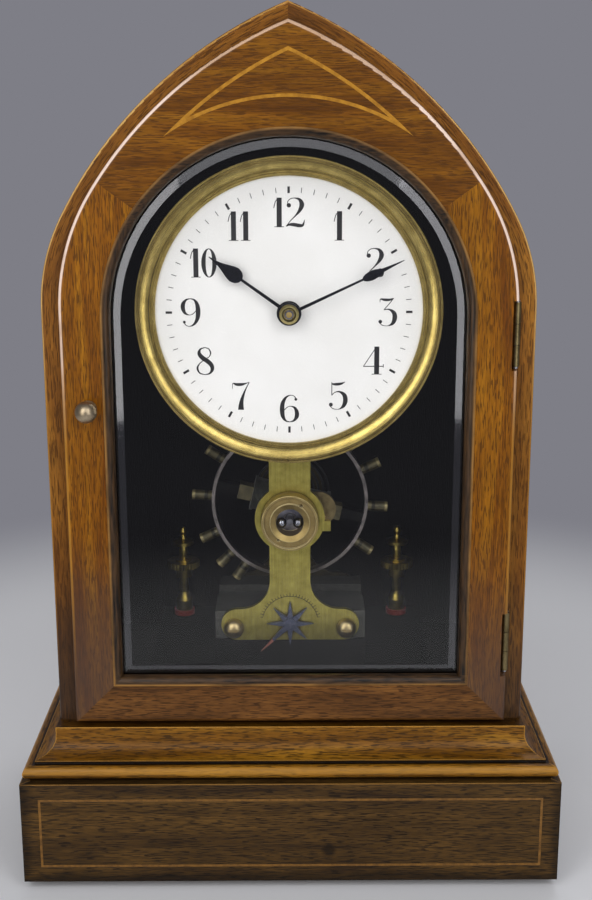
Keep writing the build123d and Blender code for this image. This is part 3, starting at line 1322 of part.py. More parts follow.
def all_nodes():
    """Every piece of the clock by name."""
    nodes = {}
    nodes.update(plinth_nodes())
    nodes["base_moulding"] = base_moulding()
    nodes["bottom_board"] = bottom_board()
    nodes["feet"] = feet()
    nodes["deck_board"] = deck_board()
    nodes.update(case_nodes())
    nodes["case_screws"] = group(bottom_screws() + back_screws() + seat_screws() + case_hinge_screws())
    nodes.update(door_wood())
    makers = (
        sight_bead, door_glass, glass_retainer, door_knob, catch_tongue,
        dial, dial_bezel, hour_hand, minute_hand, hand_collet,
        front_plate, back_plate, bed_plate, plate_nuts, movement_seat,
        centre_arbor, hour_wheel, minute_wheel, intermediate_wheel, ratchet_wheel, pawl_lever,
        balance_rim, balance_core, balance_coils, balance_nuts, balance_staff, hairspring,
        bearing_cups, bearing_balls, contact_disc, regulator_star,
        terminal_posts, terminal_nuts, terminal_washers, battery_cell, battery_contacts,
    )
    for maker in makers:
        nodes[maker.__name__] = maker()
    nodes["balance_screws"] = group(balance_screws())
    nodes.update(hinge_nodes())
    return nodes


os.makedirs("parts", exist_ok=True)
for name, shape in all_nodes().items():
    export_step(shape, f"parts/{name}.step")
print("least gap between the hairspring's turns, mm:", round(hairspring_gap(), 2))
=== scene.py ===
import bpy
import math
from mathutils import Matrix, Vector

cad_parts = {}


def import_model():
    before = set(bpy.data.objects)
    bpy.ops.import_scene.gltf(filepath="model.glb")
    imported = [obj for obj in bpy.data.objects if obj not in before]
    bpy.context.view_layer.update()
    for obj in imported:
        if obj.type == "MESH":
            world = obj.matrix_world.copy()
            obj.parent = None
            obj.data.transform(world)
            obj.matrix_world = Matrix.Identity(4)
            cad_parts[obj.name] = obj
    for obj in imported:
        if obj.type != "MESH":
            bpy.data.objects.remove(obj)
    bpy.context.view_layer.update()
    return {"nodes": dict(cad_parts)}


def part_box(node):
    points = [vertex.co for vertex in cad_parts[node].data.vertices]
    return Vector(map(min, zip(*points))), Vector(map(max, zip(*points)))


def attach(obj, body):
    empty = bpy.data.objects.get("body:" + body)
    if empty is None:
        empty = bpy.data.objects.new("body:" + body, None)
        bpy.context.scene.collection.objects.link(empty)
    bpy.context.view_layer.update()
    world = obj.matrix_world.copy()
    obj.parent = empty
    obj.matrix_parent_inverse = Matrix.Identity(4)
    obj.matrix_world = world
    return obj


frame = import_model()

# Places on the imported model, in metres
DIAL_Z = 0.2433
DIAL_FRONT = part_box("dial")[0][1]
COLLET_CORE = 0.0019
PLATE_FRONT = -0.023
REGULATOR_Z = 0.1033
POINTER_TIP = (0.0106, 0.0112)
BALANCE_Z = 0.1516
CUP_CORE = 0.006
CUP_FLOOR = -0.0272
CORE_TILT = math.radians(167)
WIRE_PITCH = 0.0006
OPENING_HALF = 0.0751
OPENING_BOTTOM = 0.0874
SPRING_Z = 0.247
HAUNCH_X = 0.0217
HAUNCH_RADIUS = 0.078
HAUNCH_TURN = math.radians(28)
CROWN_X = -0.0666
CROWN_Z = 0.2001
CROWN_RADIUS = 0.178
CROWN_SHIFT = -0.0783
BASE_HALF = 0.1143
BASE_FRONT = -0.071
PLINTH_TOP = 0.049
INK_LIFT = 0.00006

# Rounded edges: depth of the front face, radius
CASE_EDGE = (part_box("case_wall_left")[0][1], 0.0012)
DOOR_EDGE = (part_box("door_stile_left")[0][1], 0.002)

# Heights or distances between which a mark comes in or fades
PALE_RISE = (0.19, 0.27)
PALE_FALL = (0.315, 0.345)
GILT_RISE = (0.08, 0.15)
LEDGE_RISE = (0.068, 0.0685)
PLINTH_FOOT = (0.0065, 0.0025)
GROOVE_START = (0.0374, 0.0378)
GROOVE_END = (0.0394, 0.039)
SCREW_END = (0.0434, 0.0438)
FLOOR_FADE = (0.3, 0.55)

# Marks on the base: two places in a section or face, and a radius
BEAD_CREST = (0.0019, 0.0546, 0.0021)
UPPER_CORNER = (0.0056, 0.0562, 0.0017)
LOWER_CORNER = (0.0039, 0.0498, 0.0019)
PLINTH_KNOT = (0.0163, 0.0185, 0.0042)

# Printed work, in metres
NUMERAL_HEIGHT = 0.0119
NUMERAL_RADIUS = 0.041
MINUTE_RADIUS = 0.0501
HOUR_MARK = (0.0027, 0.001)
MINUTE_MARK = (0.0022, 0.00028)
SCALE_RADIUS = 0.0131
SCALE_ARC = 0.0124
SCALE_LINE = 0.00026
LONG_MARK = 0.0018
SHORT_MARK = 0.0011

# Shares of a numeral's height, and the corners of a round terminal
THIN = 0.028
LEAST_BREADTH = 0.012
FIGURE_GAP = 0.02
BALL_SIDES = 20


# Colours and node helpers
def tint(red, green, blue):
    """A colour given as 0 to 255 screen values, as linear light."""
    def linear(value):
        value /= 255
        return value / 12.92 if value <= 0.04045 else ((value + 0.055) / 1.055) ** 2.4
    return (linear(red), linear(green), linear(blue), 1.0)


def grey(value):
    """A grey given as linear light."""
    return (value, value, value, 1.0)


class Shader:
    """A material's node tree with short ways to add nodes."""

    def __init__(self, name):
        self.material = bpy.data.materials.new(name)
        self.material.use_nodes = True
        self.tree = self.material.node_tree
        self.tree.nodes.clear()
        self.output = self.tree.nodes.new("ShaderNodeOutputMaterial")
        coords = self.tree.nodes.new("ShaderNodeTexCoord")
        self.place = coords.outputs["Object"]
        self.normal = coords.outputs["Normal"]

    def add(self, kind, inputs=(), **settings):
        node = self.tree.nodes.new(kind)
        for key, value in settings.items():
            setattr(node, key, value)
        for key, value in dict(inputs).items():
            self.put(node.inputs[key], value)
        return node

    def put(self, socket, value):
        if isinstance(value, bpy.types.NodeSocket):
            self.tree.links.new(value, socket)
        else:
            socket.default_value = value

    def math(self, operation, first, second=0.0, clamp=False):
        node = self.add("ShaderNodeMath", {0: first, 1: second}, operation=operation, use_clamp=clamp)
        return node.outputs[0]

    def plus(self, first, second):
        return self.math("ADD", first, second)

    def minus(self, first, second):
        return self.math("SUBTRACT", first, second)

    def times(self, first, second, clamp=False):
        return self.math("MULTIPLY", first, second, clamp)

    def larger(self, first, second):
        return self.math("MAXIMUM", first, second)

    def size(self, value):
        return self.math("ABSOLUTE", value)

    def reach(self, first, second):
        """The length of two parts together."""
        return self.math("SQRT", self.plus(self.times(first, first), self.times(second, second)))

    def span(self, factor, width, low):
        """A value that rises from low by the width as the factor goes from 0 to 1."""
        return self.plus(self.times(factor, width), low)

    def parts(self, vector):
        node = self.add("ShaderNodeSeparateXYZ", {0: vector})
        return node.outputs[0], node.outputs[1], node.outputs[2]

    def height(self):
        return self.parts(self.place)[2]

    def vector(self, x, y, z):
        return self.add("ShaderNodeCombineXYZ", {0: x, 1: y, 2: z}).outputs[0]

    def scaled(self, vector, factors):
        node = self.add("ShaderNodeVectorMath", {0: vector, 1: factors}, operation="MULTIPLY")
        return node.outputs[0]

    def noise(self, vector, scale=1.0, detail=3.0, roughness=0.5, distortion=0.0):
        inputs = {"Vector": vector, "Scale": scale, "Detail": detail}
        inputs.update({"Roughness": roughness, "Distortion": distortion})
        return self.add("ShaderNodeTexNoise", inputs).outputs[0]

    def ramp(self, factor, stops):
        node = self.add("ShaderNodeValToRGB", {0: factor})
        points = node.color_ramp.elements
        while len(points) < len(stops):
            points.new(0.5)
        for point, (place, colour) in zip(points, stops):
            point.position = place
            point.color = colour
        return node.outputs[0]

    def step(self, factor, low, high):
        """0 below low, 1 above high and smooth between; high may be the lower of the two."""
        node = self.add("ShaderNodeMapRange", {0: factor, 1: low, 2: high, 3: 0.0, 4: 1.0})
        node.interpolation_type = "SMOOTHSTEP"
        return node.outputs[0]

    def mix(self, factor, first, second, **settings):
        node = self.add("ShaderNodeMix", **settings)
        for name, value in (("Factor", factor), ("A", first), ("B", second)):
            self.put(node.inputs[name], value)
        return node.outputs["Result"]

    def blend(self, factor, first, second):
        """The first colour where the factor is 0 and the second where it is 1."""
        return self.mix(factor, first, second, data_type="RGBA", blend_type="MIX")

    def shade(self, factor, colour, by):
        """The colour multiplied by another where the factor is 1."""
        return self.mix(factor, colour, by, data_type="RGBA", blend_type="MULTIPLY")

    def choose(self, factor, first, second):
        """The first number where the factor is 0 and the second where it is 1."""
        return self.mix(factor, first, second, data_type="FLOAT")

    def hollow(self, distance, samples, only_local=True):
        """1 in the open and less in corners closer than the distance."""
        inputs = {"Distance": distance}
        node = self.add("ShaderNodeAmbientOcclusion", inputs, samples=samples, only_local=only_local)
        return node.outputs["AO"]

    def bump(self, height, distance, strength=1.0, normal=None):
        inputs = {"Height": height, "Distance": distance, "Strength": strength}
        if normal is not None:
            inputs["Normal"] = normal
        return self.add("ShaderNodeBump", inputs).outputs[0]

    def finish(self, node):
        self.tree.links.new(node.outputs[0], self.output.inputs["Surface"])
        return self.material

    def surface(self, **inputs):
        names = {key.replace("_", " "): value for key, value in inputs.items()}
        return self.finish(self.add("ShaderNodeBsdfPrincipled", names))


# Masks
def facing_edge(shader, front, radius):
    """1 on the rounded edge between a front face at one depth and a side."""
    y = shader.parts(shader.place)[1]
    side = shader.step(shader.size(shader.parts(shader.normal)[1]), 0.1, 0.2)
    behind = shader.step(y, front + 0.00004, front + 0.0002)
    before = shader.step(y, front + 0.6 * radius, front + 0.4 * radius)
    return shader.times(side, shader.times(behind, before))


def worn_height(shader):
    """How much of an edge is pale from wear and a painted highlight: most at the shoulders, less at the
    crown, none at the foot.
    """
    z = shader.height()
    crown = shader.choose(shader.step(z, *PALE_FALL), 1.0, 0.3)
    return shader.times(shader.step(z, *PALE_RISE), crown)


def sharp_edge(shader, radius):
    """The normal rounded over at the arrises, and 1 where it turns."""
    soft = shader.add("ShaderNodeBevel", {"Radius": radius}, samples=6).outputs[0]
    flat = shader.add("ShaderNodeNewGeometry").outputs["Normal"]
    turn = shader.add("ShaderNodeVectorMath", {0: soft, 1: flat}, operation="DOT_PRODUCT").outputs["Value"]
    return soft, shader.step(turn, 0.995, 0.93)


def above_dial(shader, z):
    """Height above the dial's centre, and 0 below it."""
    return shader.larger(shader.minus(z, DIAL_Z), 0.0)


def facing_inwards(shader):
    """1 on the faces of the case that look into it."""
    x, _, z = shader.parts(shader.place)
    nx, ny, nz = shader.parts(shader.normal)
    out = shader.plus(shader.times(nx, x), shader.times(nz, above_dial(shader, z)))
    inwards = shader.math("LESS_THAN", out, -0.002)
    sideways = shader.math("LESS_THAN", shader.size(ny), 0.7)
    return shader.times(inwards, sideways)


def facing_axis(shader, axis, sign):
    """1 on the faces that look along one axis."""
    part = shader.parts(shader.normal)[axis]
    return shader.math("GREATER_THAN", shader.times(part, sign), 0.5)


def near(shader, first, second, mark):
    """1 at the middle of a mark and 0 beyond its radius."""
    here, there, radius = mark
    away = shader.reach(shader.minus(first, here), shader.minus(second, there))
    return shader.step(away, radius, 0.35 * radius)


def base_insets(shader, x, y):
    """How far a point lies inside the plinth's sides and inside its front."""
    return shader.minus(BASE_HALF, shader.size(x)), shader.minus(y, BASE_FRONT)


# Wood
def along_case(shader, x, z):
    """Distance along the outline of the case from the floor to the point, and distance across it."""
    wide = shader.size(x)
    rise = shader.larger(shader.minus(z, SPRING_Z), 0.0)
    low = shader.minus(wide, HAUNCH_X)
    low_turn = shader.math("ARCTAN2", rise, low)
    high = shader.minus(wide, CROWN_X)
    climb = shader.minus(z, CROWN_Z)
    high_turn = shader.minus(shader.math("ARCTAN2", climb, high), HAUNCH_TURN)
    on_crown = shader.math("GREATER_THAN", low_turn, HAUNCH_TURN)
    bend = shader.choose(
        on_crown, shader.times(low_turn, HAUNCH_RADIUS),
        shader.span(high_turn, CROWN_RADIUS, HAUNCH_RADIUS * HAUNCH_TURN))
    across = shader.choose(
        on_crown, shader.plus(shader.reach(low, rise), HAUNCH_X),
        shader.plus(shader.reach(high, climb), CROWN_SHIFT))
    along = shader.plus(shader.math("MINIMUM", z, SPRING_Z), bend)
    return along, shader.times(across, shader.math("SIGN", x))


def grain_vector(shader, grain, offset):
    """Coordinates whose first part runs along the grain."""
    x, y, z = shader.parts(shader.place)
    if grain == "case":
        along, first, second = *along_case(shader, x, z), y
    elif grain == "base":
        on_side = shader.math("LESS_THAN", *base_insets(shader, x, y))
        along, first, second = shader.choose(on_side, x, y), shader.choose(on_side, y, x), z
    else:
        along, first, second = {"x": (x, y, z), "y": (y, x, z), "z": (z, x, y)}[grain]
    return shader.vector(shader.plus(along, offset), first, second)


def smoky_foot(shader, colour, cloud, low, high, shade, haze):
    """Wood darkened and greyed below an uneven line between two heights."""
    drift = shader.times(shader.minus(cloud, 0.5), 0.05)
    dimmed = shader.step(shader.plus(shader.height(), drift), high, low)
    colour = shader.shade(dimmed, colour, shade)
    return shader.blend(shader.times(dimmed, 0.3), colour, haze)


def rubbed_edge(shader, colour, edge_wear_and_highlight, front, radius):
    """A rounded front edge with a painted golden highlight, and pale at the shoulders from wear and a
    painted highlight.
    """
    patchy = shader.step(shader.noise(shader.place, 45.0, 3.0), 0.2, 0.6)
    share = shader.times(worn_height(shader), shader.plus(0.45, patchy), clamp=True)
    edge = facing_edge(shader, front, radius)
    gilt_highlight = shader.times(edge, shader.step(shader.height(), *GILT_RISE))
    # Painted golden highlight along the rounded edge above the foot
    colour = shader.blend(shader.times(gilt_highlight, 0.5), colour, GILT_HIGHLIGHT)
    # Pale wear with a painted highlight on the rounded edge, most at the shoulders
    return shader.blend(shader.times(edge, share), colour, edge_wear_and_highlight)


def worn_arrises(shader, colour, arris_highlight, above):
    """Sharp edges above a height given a painted highlight, with painted shade in the corners; the rounded
    normal too.
    """
    normal, edge = sharp_edge(shader, 0.0008)
    hollow = shader.hollow(0.004, 8)
    open_edge = shader.times(edge, shader.step(hollow, 0.55, 0.8))
    if above:
        open_edge = shader.times(open_edge, shader.math("GREATER_THAN", shader.height(), above))
    # Painted highlight on the open sharp edges
    colour = shader.blend(shader.times(open_edge, 0.9), colour, arris_highlight)
    # Painted shade in the corners, darker where the occlusion is deeper
    return shader.shade(shader.step(hollow, 0.82, 0.4), colour, CORNER_SHADE), normal


def moulding_marks(shader, colour):
    """A painted shadow on the ledge under the door, a rubbed crest with a painted highlight on the base
    bead, and painted shade in the corners above and below it.
    """
    x, y, z = shader.parts(shader.place)
    inset = shader.math("MINIMUM", *base_insets(shader, x, y))
    crest, upper, lower = (near(shader, inset, z, mark) for mark in (BEAD_CREST, UPPER_CORNER, LOWER_CORNER))
    ledge = shader.times(facing_axis(shader, 2, 1.0), shader.step(z, *LEDGE_RISE))
    # Painted shadow on the upward ledge under the door
    colour = shader.shade(ledge, colour, LEDGE_SHADOW)
    # Crest of the bead rubbed and given a painted highlight
    colour = shader.blend(shader.times(crest, 0.5), colour, RUBBED_CREST_HIGHLIGHT)
    # Painted shade in the grooves above and below the bead
    return shader.shade(shader.larger(upper, lower), colour, MOULDING_GROOVE_SHADE)


def plinth_marks(shader, colour):
    """Darker at the plinth's corners and foot, and a small knot in its front."""
    x, _, z = shader.parts(shader.place)
    cloud = shader.times(shader.noise(shader.place, 90.0, 3.0), 0.006)
    ends = shader.step(shader.plus(shader.size(x), cloud), BASE_HALF - 0.003, BASE_HALF + 0.002)
    foot = shader.step(shader.minus(z, cloud), *PLINTH_FOOT)
    colour = shader.shade(shader.larger(ends, foot), colour, grey(0.42))
    return shader.shade(near(shader, x, z, PLINTH_KNOT), colour, grey(0.3))


def wood(name, tones, fleck, grain, offset=0.0, edge_wear_and_highlight=None, inner=None, gloss=0.36, fleck_share=0.8,
         arris_highlight=None, above=None, moulded=False, plinth_marked=False, foot=None):
    """Polished open-grained wood: broad figure, fine fibres and short dark pores along the grain."""
    shader = Shader(name)
    vector = grain_vector(shader, grain, offset)
    figure = shader.noise(shader.scaled(vector, (11.0, 130.0, 130.0)), 1.0, 4.0, 0.55, 0.7)
    fibre = shader.noise(shader.scaled(vector, (110.0, 1300.0, 1300.0)), 1.0, 3.0, 0.6)
    pores = shader.noise(shader.scaled(vector, (180.0, 2200.0, 2200.0)), 1.0, 1.0, 0.5)
    cloud = shader.noise(shader.scaled(vector, (22.0, 30.0, 30.0)), 1.0, 2.0, 0.5)
    colour = shader.ramp(figure, list(zip((0.3, 0.5, 0.7), tones)))
    colour = shader.shade(1.0, colour, shader.ramp(fibre, [(0.25, grey(0.6)), (0.75, grey(1.3))]))
    colour = shader.shade(1.0, colour, shader.ramp(cloud, [(0.3, grey(0.84)), (0.7, grey(1.12))]))
    pore = shader.step(pores, 0.53, 0.6)
    colour = shader.blend(shader.times(pore, fleck_share), colour, fleck)
    rough = shader.span(fibre, 0.22, gloss - 0.1)
    normal = None
    if foot:
        colour = smoky_foot(shader, colour, cloud, *foot)
    if edge_wear_and_highlight:
        colour = rubbed_edge(shader, colour, edge_wear_and_highlight, *(CASE_EDGE if grain == "case" else DOOR_EDGE))
    if arris_highlight:
        colour, normal = worn_arrises(shader, colour, arris_highlight, above)
    if moulded:
        colour = moulding_marks(shader, colour)
    if plinth_marked:
        colour = plinth_marks(shader, colour)
    if inner:
        inside = facing_inwards(shader) if inner == "case" else facing_axis(shader, *inner)
        colour = shader.blend(inside, colour, tint(6, 6, 5))
        rough = shader.choose(inside, rough, 0.95)
    height = shader.minus(shader.times(fibre, 0.4), pore)
    return shader.surface(
        Base_Color=colour, Roughness=rough, Normal=shader.bump(height, 0.0001, 0.45, normal),
        Specular_IOR_Level=0.16, Coat_Weight=0.06, Coat_Roughness=0.14, IOR=1.45)


def plain_wood(name, grain, inner=None):
    """Unpolished wood for the hidden boards."""
    return wood(name, CASE_TONES, DARK_FLECK, grain, inner=inner, gloss=0.62, fleck_share=0.5)


def stringing_wood(name, low, high):
    """Inlaid line with a fine grain."""
    shader = Shader(name)
    fibre = shader.noise(shader.place, 420.0, 3.0, 0.6)
    colour = shader.ramp(fibre, [(0.3, low), (0.7, high)])
    return shader.surface(
        Base_Color=colour, Roughness=shader.span(fibre, 0.2, 0.28),
        Specular_IOR_Level=0.3, Coat_Weight=0.1, Coat_Roughness=0.2)


def bead_wood():
    """Black stained bead, rubbed brown along its outer edge; its grain turns at the crown and the foot."""
    shader = Shader("bead_wood")
    x, _, z = shader.parts(shader.place)
    reach = shader.reach(x, above_dial(shader, z))
    sides = shader.step(reach, OPENING_HALF - 0.0013, OPENING_HALF - 0.0002)
    line = shader.larger(sides, shader.step(z, OPENING_BOTTOM + 0.0013, OPENING_BOTTOM + 0.0002))
    upright = shader.noise(shader.scaled(shader.place, (900.0, 900.0, 90.0)), 1.0, 3.0)
    across = shader.noise(shader.scaled(shader.place, (150.0, 1300.0, 1300.0)), 1.0, 3.0)
    crown = shader.step(z, DIAL_Z + 0.03, DIAL_Z + 0.045)
    foot = shader.step(z, OPENING_BOTTOM + 0.006, OPENING_BOTTOM + 0.004)
    fibre = shader.choose(shader.larger(crown, foot), upright, across)
    rubbed = shader.step(shader.noise(shader.place, 38.0, 4.0, 0.6), 0.38, 0.62)
    colour = shader.ramp(fibre, [(0.36, tint(12, 9, 7)), (0.66, tint(72, 50, 28))])
    colour = shader.blend(shader.times(rubbed, 0.4), colour, tint(72, 50, 26))
    share = shader.times(line, shader.span(rubbed, 0.6, 0.35))
    colour = shader.blend(share, colour, tint(150, 108, 52))
    return shader.surface(
        Base_Color=colour, Roughness=shader.span(fibre, 0.25, 0.28),
        Specular_IOR_Level=0.25, Coat_Weight=0.06, Coat_Roughness=0.12)


def black_wood():
    """Ebonised wood inside the case."""
    shader = Shader("ebonised_wood")
    fibre = shader.noise(shader.scaled(shader.place, (60.0, 700.0, 700.0)), 1.0, 3.0)
    colour = shader.ramp(fibre, [(0.3, tint(3, 3, 3)), (0.75, tint(9, 9, 8))])
    return shader.surface(
        Base_Color=colour, Roughness=shader.span(fibre, 0.3, 0.55), Normal=shader.bump(fibre, 0.0001, 0.4),
        Specular_IOR_Level=0.02)


# Metals
def metal(name, low, high, rough, spread=0.12, stretch=(1.0, 1.0, 1.0), brushed=0.0):
    """A worked metal: mottled colour and faint scratches along the direction that is stretched."""
    shader = Shader(name)

    def lines(scale):
        factors = tuple(scale * part for part in stretch)
        return shader.noise(shader.scaled(shader.place, factors), 1.0, 3.0, 0.6)

    mottle = shader.noise(shader.place, 260.0, 4.0, 0.6)
    scratch = lines(2600.0)
    colour = shader.ramp(mottle, [(0.28, low), (0.72, high)])
    if brushed:
        brush = shader.ramp(lines(1500.0), [(0.3, grey(0.5)), (0.7, grey(1.25))])
        colour = shader.shade(brushed, colour, brush)
        # Painted shade on the plate around the parts fitted to it
        shade_near_parts = shader.step(shader.hollow(0.0022, 8, only_local=False), 0.85, 0.45)
        colour = shader.shade(shade_near_parts, colour, BRASS_SHADE)
    mixed = shader.plus(shader.times(mottle, 0.5), shader.times(scratch, 0.5))
    return shader.surface(
        Base_Color=colour, Metallic=1.0, Roughness=shader.span(mixed, 2 * spread, rough - spread),
        Normal=shader.bump(scratch, 0.00002, 0.4))


def turned_brass(name, low, high, rough, centre, core=None, depth=None, edge_highlight=None):
    """Brass turned about an axis that runs front to back, with fine rings and painted shade in its recesses;
    the core is steel, and sharp edges may get a painted highlight.
    """
    shader = Shader(name)
    x, y, z = shader.parts(shader.place)
    rise = shader.minus(z, centre)
    reach = shader.reach(x, rise)
    angle = shader.math("ARCTAN2", x, rise)
    rings = shader.noise(shader.vector(shader.times(reach, 5200.0), angle, 0.0), 1.0, 3.0)
    mottle = shader.noise(shader.place, 170.0, 4.0, 0.6)
    colour = shader.ramp(mottle, [(0.3, low), (0.7, high)])
    if core:
        inside = shader.math("LESS_THAN", reach, core)
        if depth is not None:
            inside = shader.times(inside, shader.math("GREATER_THAN", y, depth))
        steel = shader.ramp(mottle, [(0.3, tint(96, 96, 108)), (0.7, tint(148, 148, 158))])
        colour = shader.blend(inside, colour, steel)
    # Painted shade in the grooves and recesses
    colour = shader.shade(shader.step(shader.hollow(0.003, 6), 0.8, 0.3), colour, RING_SHADE)
    normal = None
    # Painted highlight on the sharp edges
    if edge_highlight:
        normal, edge = sharp_edge(shader, 0.0005)
        colour = shader.blend(shader.times(edge, 0.7), colour, edge_highlight)
    return shader.surface(
        Base_Color=colour, Metallic=1.0, Roughness=shader.span(rings, 0.2, rough - 0.1),
        Normal=shader.bump(rings, 0.00002, 0.5, normal))


def screw_brass():
    """Turned brass of the balance, darkened as painted shade: its timing screws have a dark groove of
    painted shade and a bright end of painted highlight.
    """
    shader = Shader("screw_brass")
    x, _, z = shader.parts(shader.place)
    out = shader.reach(x, shader.minus(z, BALANCE_Z))
    groove = shader.times(shader.step(out, *GROOVE_START), shader.step(out, *GROOVE_END))
    mottle = shader.noise(shader.place, 300.0, 4.0, 0.6)
    # Brass darkened as painted shade
    colour = shader.ramp(mottle, [(0.3, tint(60, 56, 40)), (0.7, tint(100, 93, 65))])
    # Painted highlight on the screws' ends
    colour = shader.blend(shader.times(shader.step(out, *SCREW_END), 0.8), colour, tint(150, 138, 96))
    # Painted shade in the screws' groove
    colour = shader.blend(shader.times(groove, 0.85), colour, tint(16, 15, 12))
    return shader.surface(Base_Color=colour, Roughness=0.36, Metallic=0.55)


def regulator_finish():
    """Blued steel, with the long pointer's tip reddened."""
    shader = Shader("regulator_steel")
    x, _, z = shader.parts(shader.place)
    tip = shader.step(shader.reach(x, shader.minus(z, REGULATOR_Z)), *POINTER_TIP)
    mottle = shader.noise(shader.place, 700.0, 3.0)
    colour = shader.ramp(mottle, [(0.3, tint(52, 56, 74)), (0.7, tint(88, 93, 114))])
    colour = shader.blend(tip, colour, tint(170, 108, 92))
    return shader.surface(Base_Color=colour, Metallic=0.6, Roughness=shader.span(mottle, 0.2, 0.25))


# Other finishes
def enamel():
    """White vitreous enamel, faintly uneven."""
    shader = Shader("enamel")
    cloud = shader.noise(shader.place, 45.0, 3.0, 0.5)
    fine = shader.noise(shader.place, 900.0, 2.0, 0.5)
    colour = shader.ramp(cloud, [(0.3, tint(242, 241, 238)), (0.7, tint(249, 248, 246))])
    return shader.surface(
        Base_Color=colour, Roughness=shader.span(fine, 0.12, 0.2), Normal=shader.bump(cloud, 0.0004, 0.12),
        Coat_Weight=0.25, Coat_Roughness=0.08)


def coated(name, low, high, rough, scale=300.0, metallic=0.0, bump=0.00004):
    """A coloured surface with mottling and a fine tooth."""
    shader = Shader(name)
    mottle = shader.noise(shader.place, scale, 4.0, 0.6)
    fine = shader.noise(shader.place, 6 * scale, 2.0, 0.6)
    colour = shader.ramp(mottle, [(0.3, low), (0.7, high)])
    return shader.surface(
        Base_Color=colour, Roughness=shader.span(fine, 0.2, rough - 0.1), Metallic=metallic,
        Normal=shader.bump(fine, bump, 0.6))


def winding():
    """Silk-covered wire wound along the balance's core."""
    shader = Shader("winding")
    x, _, z = shader.parts(shader.place)
    along = shader.plus(shader.times(x, math.cos(CORE_TILT)), shader.times(z, math.sin(CORE_TILT)))
    turns = shader.math("SINE", shader.times(along, 2 * math.pi / WIRE_PITCH))
    mottle = shader.noise(shader.place, 500.0, 3.0)
    colour = shader.ramp(mottle, [(0.3, tint(22, 24, 20)), (0.7, tint(52, 54, 42))])
    return shader.surface(
        Base_Color=colour, Roughness=0.55, Normal=shader.bump(turns, 0.0002, 0.8), Sheen_Weight=0.2)


def glass():
    """Clear plate glass with a brighter bevel, which lets the light through to the dial."""
    shader = Shader("glass")
    film = shader.noise(shader.place, 30.0, 4.0, 0.6)
    colour = shader.ramp(film, [(0.3, grey(0.99)), (0.7, grey(0.975))])
    pane = shader.add("ShaderNodeBsdfPrincipled", {
        "Base Color": colour, "Roughness": 0.0, "Transmission Weight": 1.0, "IOR": 1.34})
    mirror = shader.add("ShaderNodeBsdfGlossy", {"Color": (0.95, 0.95, 1.0, 1.0), "Roughness": 0.06})
    facing = shader.size(shader.parts(shader.normal)[1])
    bevel = shader.times(shader.step(facing, 0.9, 0.93), shader.step(facing, 0.9995, 0.996))
    pane = shader.add("ShaderNodeMixShader", {
        0: shader.times(bevel, 0.07), 1: pane.outputs[0], 2: mirror.outputs[0]})
    clear = shader.add("ShaderNodeBsdfTransparent", {0: grey(0.98)})
    path = shader.add("ShaderNodeLightPath").outputs
    soft = shader.larger(path["Is Shadow Ray"], path["Is Diffuse Ray"])
    mixed = shader.add("ShaderNodeMixShader", {0: soft, 1: pane.outputs[0], 2: clear.outputs[0]})
    return shader.finish(mixed)


def dress(material, *names):
    """Give a material to carried-over pieces."""
    for name in names:
        mesh = frame["nodes"][name].data
        mesh.materials.clear()
        mesh.materials.append(material)


# Tones, dark to light, wear, painted highlights and shade, and dimming towards the foot
DOOR_TONES = (tint(97, 52, 2), tint(124, 74, 4), tint(148, 96, 11))
RAIL_TONES = (tint(82, 45, 4), tint(110, 66, 7), tint(133, 86, 14))
CASE_TONES = (tint(96, 56, 14), tint(126, 78, 20), tint(148, 98, 30))
BASE_TONES = (tint(46, 30, 12), tint(70, 49, 20), tint(90, 64, 27))
MOULDING_TONES = (tint(84, 52, 10), tint(120, 78, 18), tint(150, 104, 28))
FOOT_TONES = (tint(74, 46, 18), tint(98, 62, 26), tint(116, 76, 34))
DARK_FLECK = tint(74, 42, 6)
FOOT_FLECK = tint(52, 30, 10)
BASE_FLECK = tint(26, 17, 7)
MOULDING_FLECK = tint(46, 30, 10)
# Edge colours: pale wear with a painted highlight on the door, a painted golden highlight, and wear with a
# painted highlight on the case
PALE_WEAR_AND_HIGHLIGHT = tint(240, 214, 198)
GILT_HIGHLIGHT = tint(196, 140, 56)
CASE_WEAR_AND_HIGHLIGHT = tint(206, 164, 96)
# Painted highlights on sharp edges, on the plinth's top edges, and on the bead's crest, which is also rubbed
ARRIS_HIGHLIGHT = tint(206, 150, 62)
PLINTH_ARRIS_HIGHLIGHT = tint(150, 108, 48)
RUBBED_CREST_HIGHLIGHT = tint(190, 138, 58)
# Painted shade in corners and grooves, painted shadow on the ledge under the door, and painted shade around
# and inside brass parts
CORNER_SHADE = (0.07, 0.065, 0.06, 1.0)
MOULDING_GROOVE_SHADE = (0.06, 0.055, 0.05, 1.0)
LEDGE_SHADOW = (0.3, 0.28, 0.26, 1.0)
BRASS_SHADE = (0.2, 0.17, 0.1, 1.0)
RING_SHADE = (0.34, 0.27, 0.19, 1.0)
DOOR_FOOT_DIMMING = (0.5, 0.55, 0.95, 1.0)
CASE_FOOT_DIMMING = (0.3, 0.32, 0.5, 1.0)
DOOR_FOOT = (0.085, 0.165, DOOR_FOOT_DIMMING, tint(104, 84, 76))
CASE_FOOT = (0.075, 0.15, CASE_FOOT_DIMMING, tint(66, 54, 48))

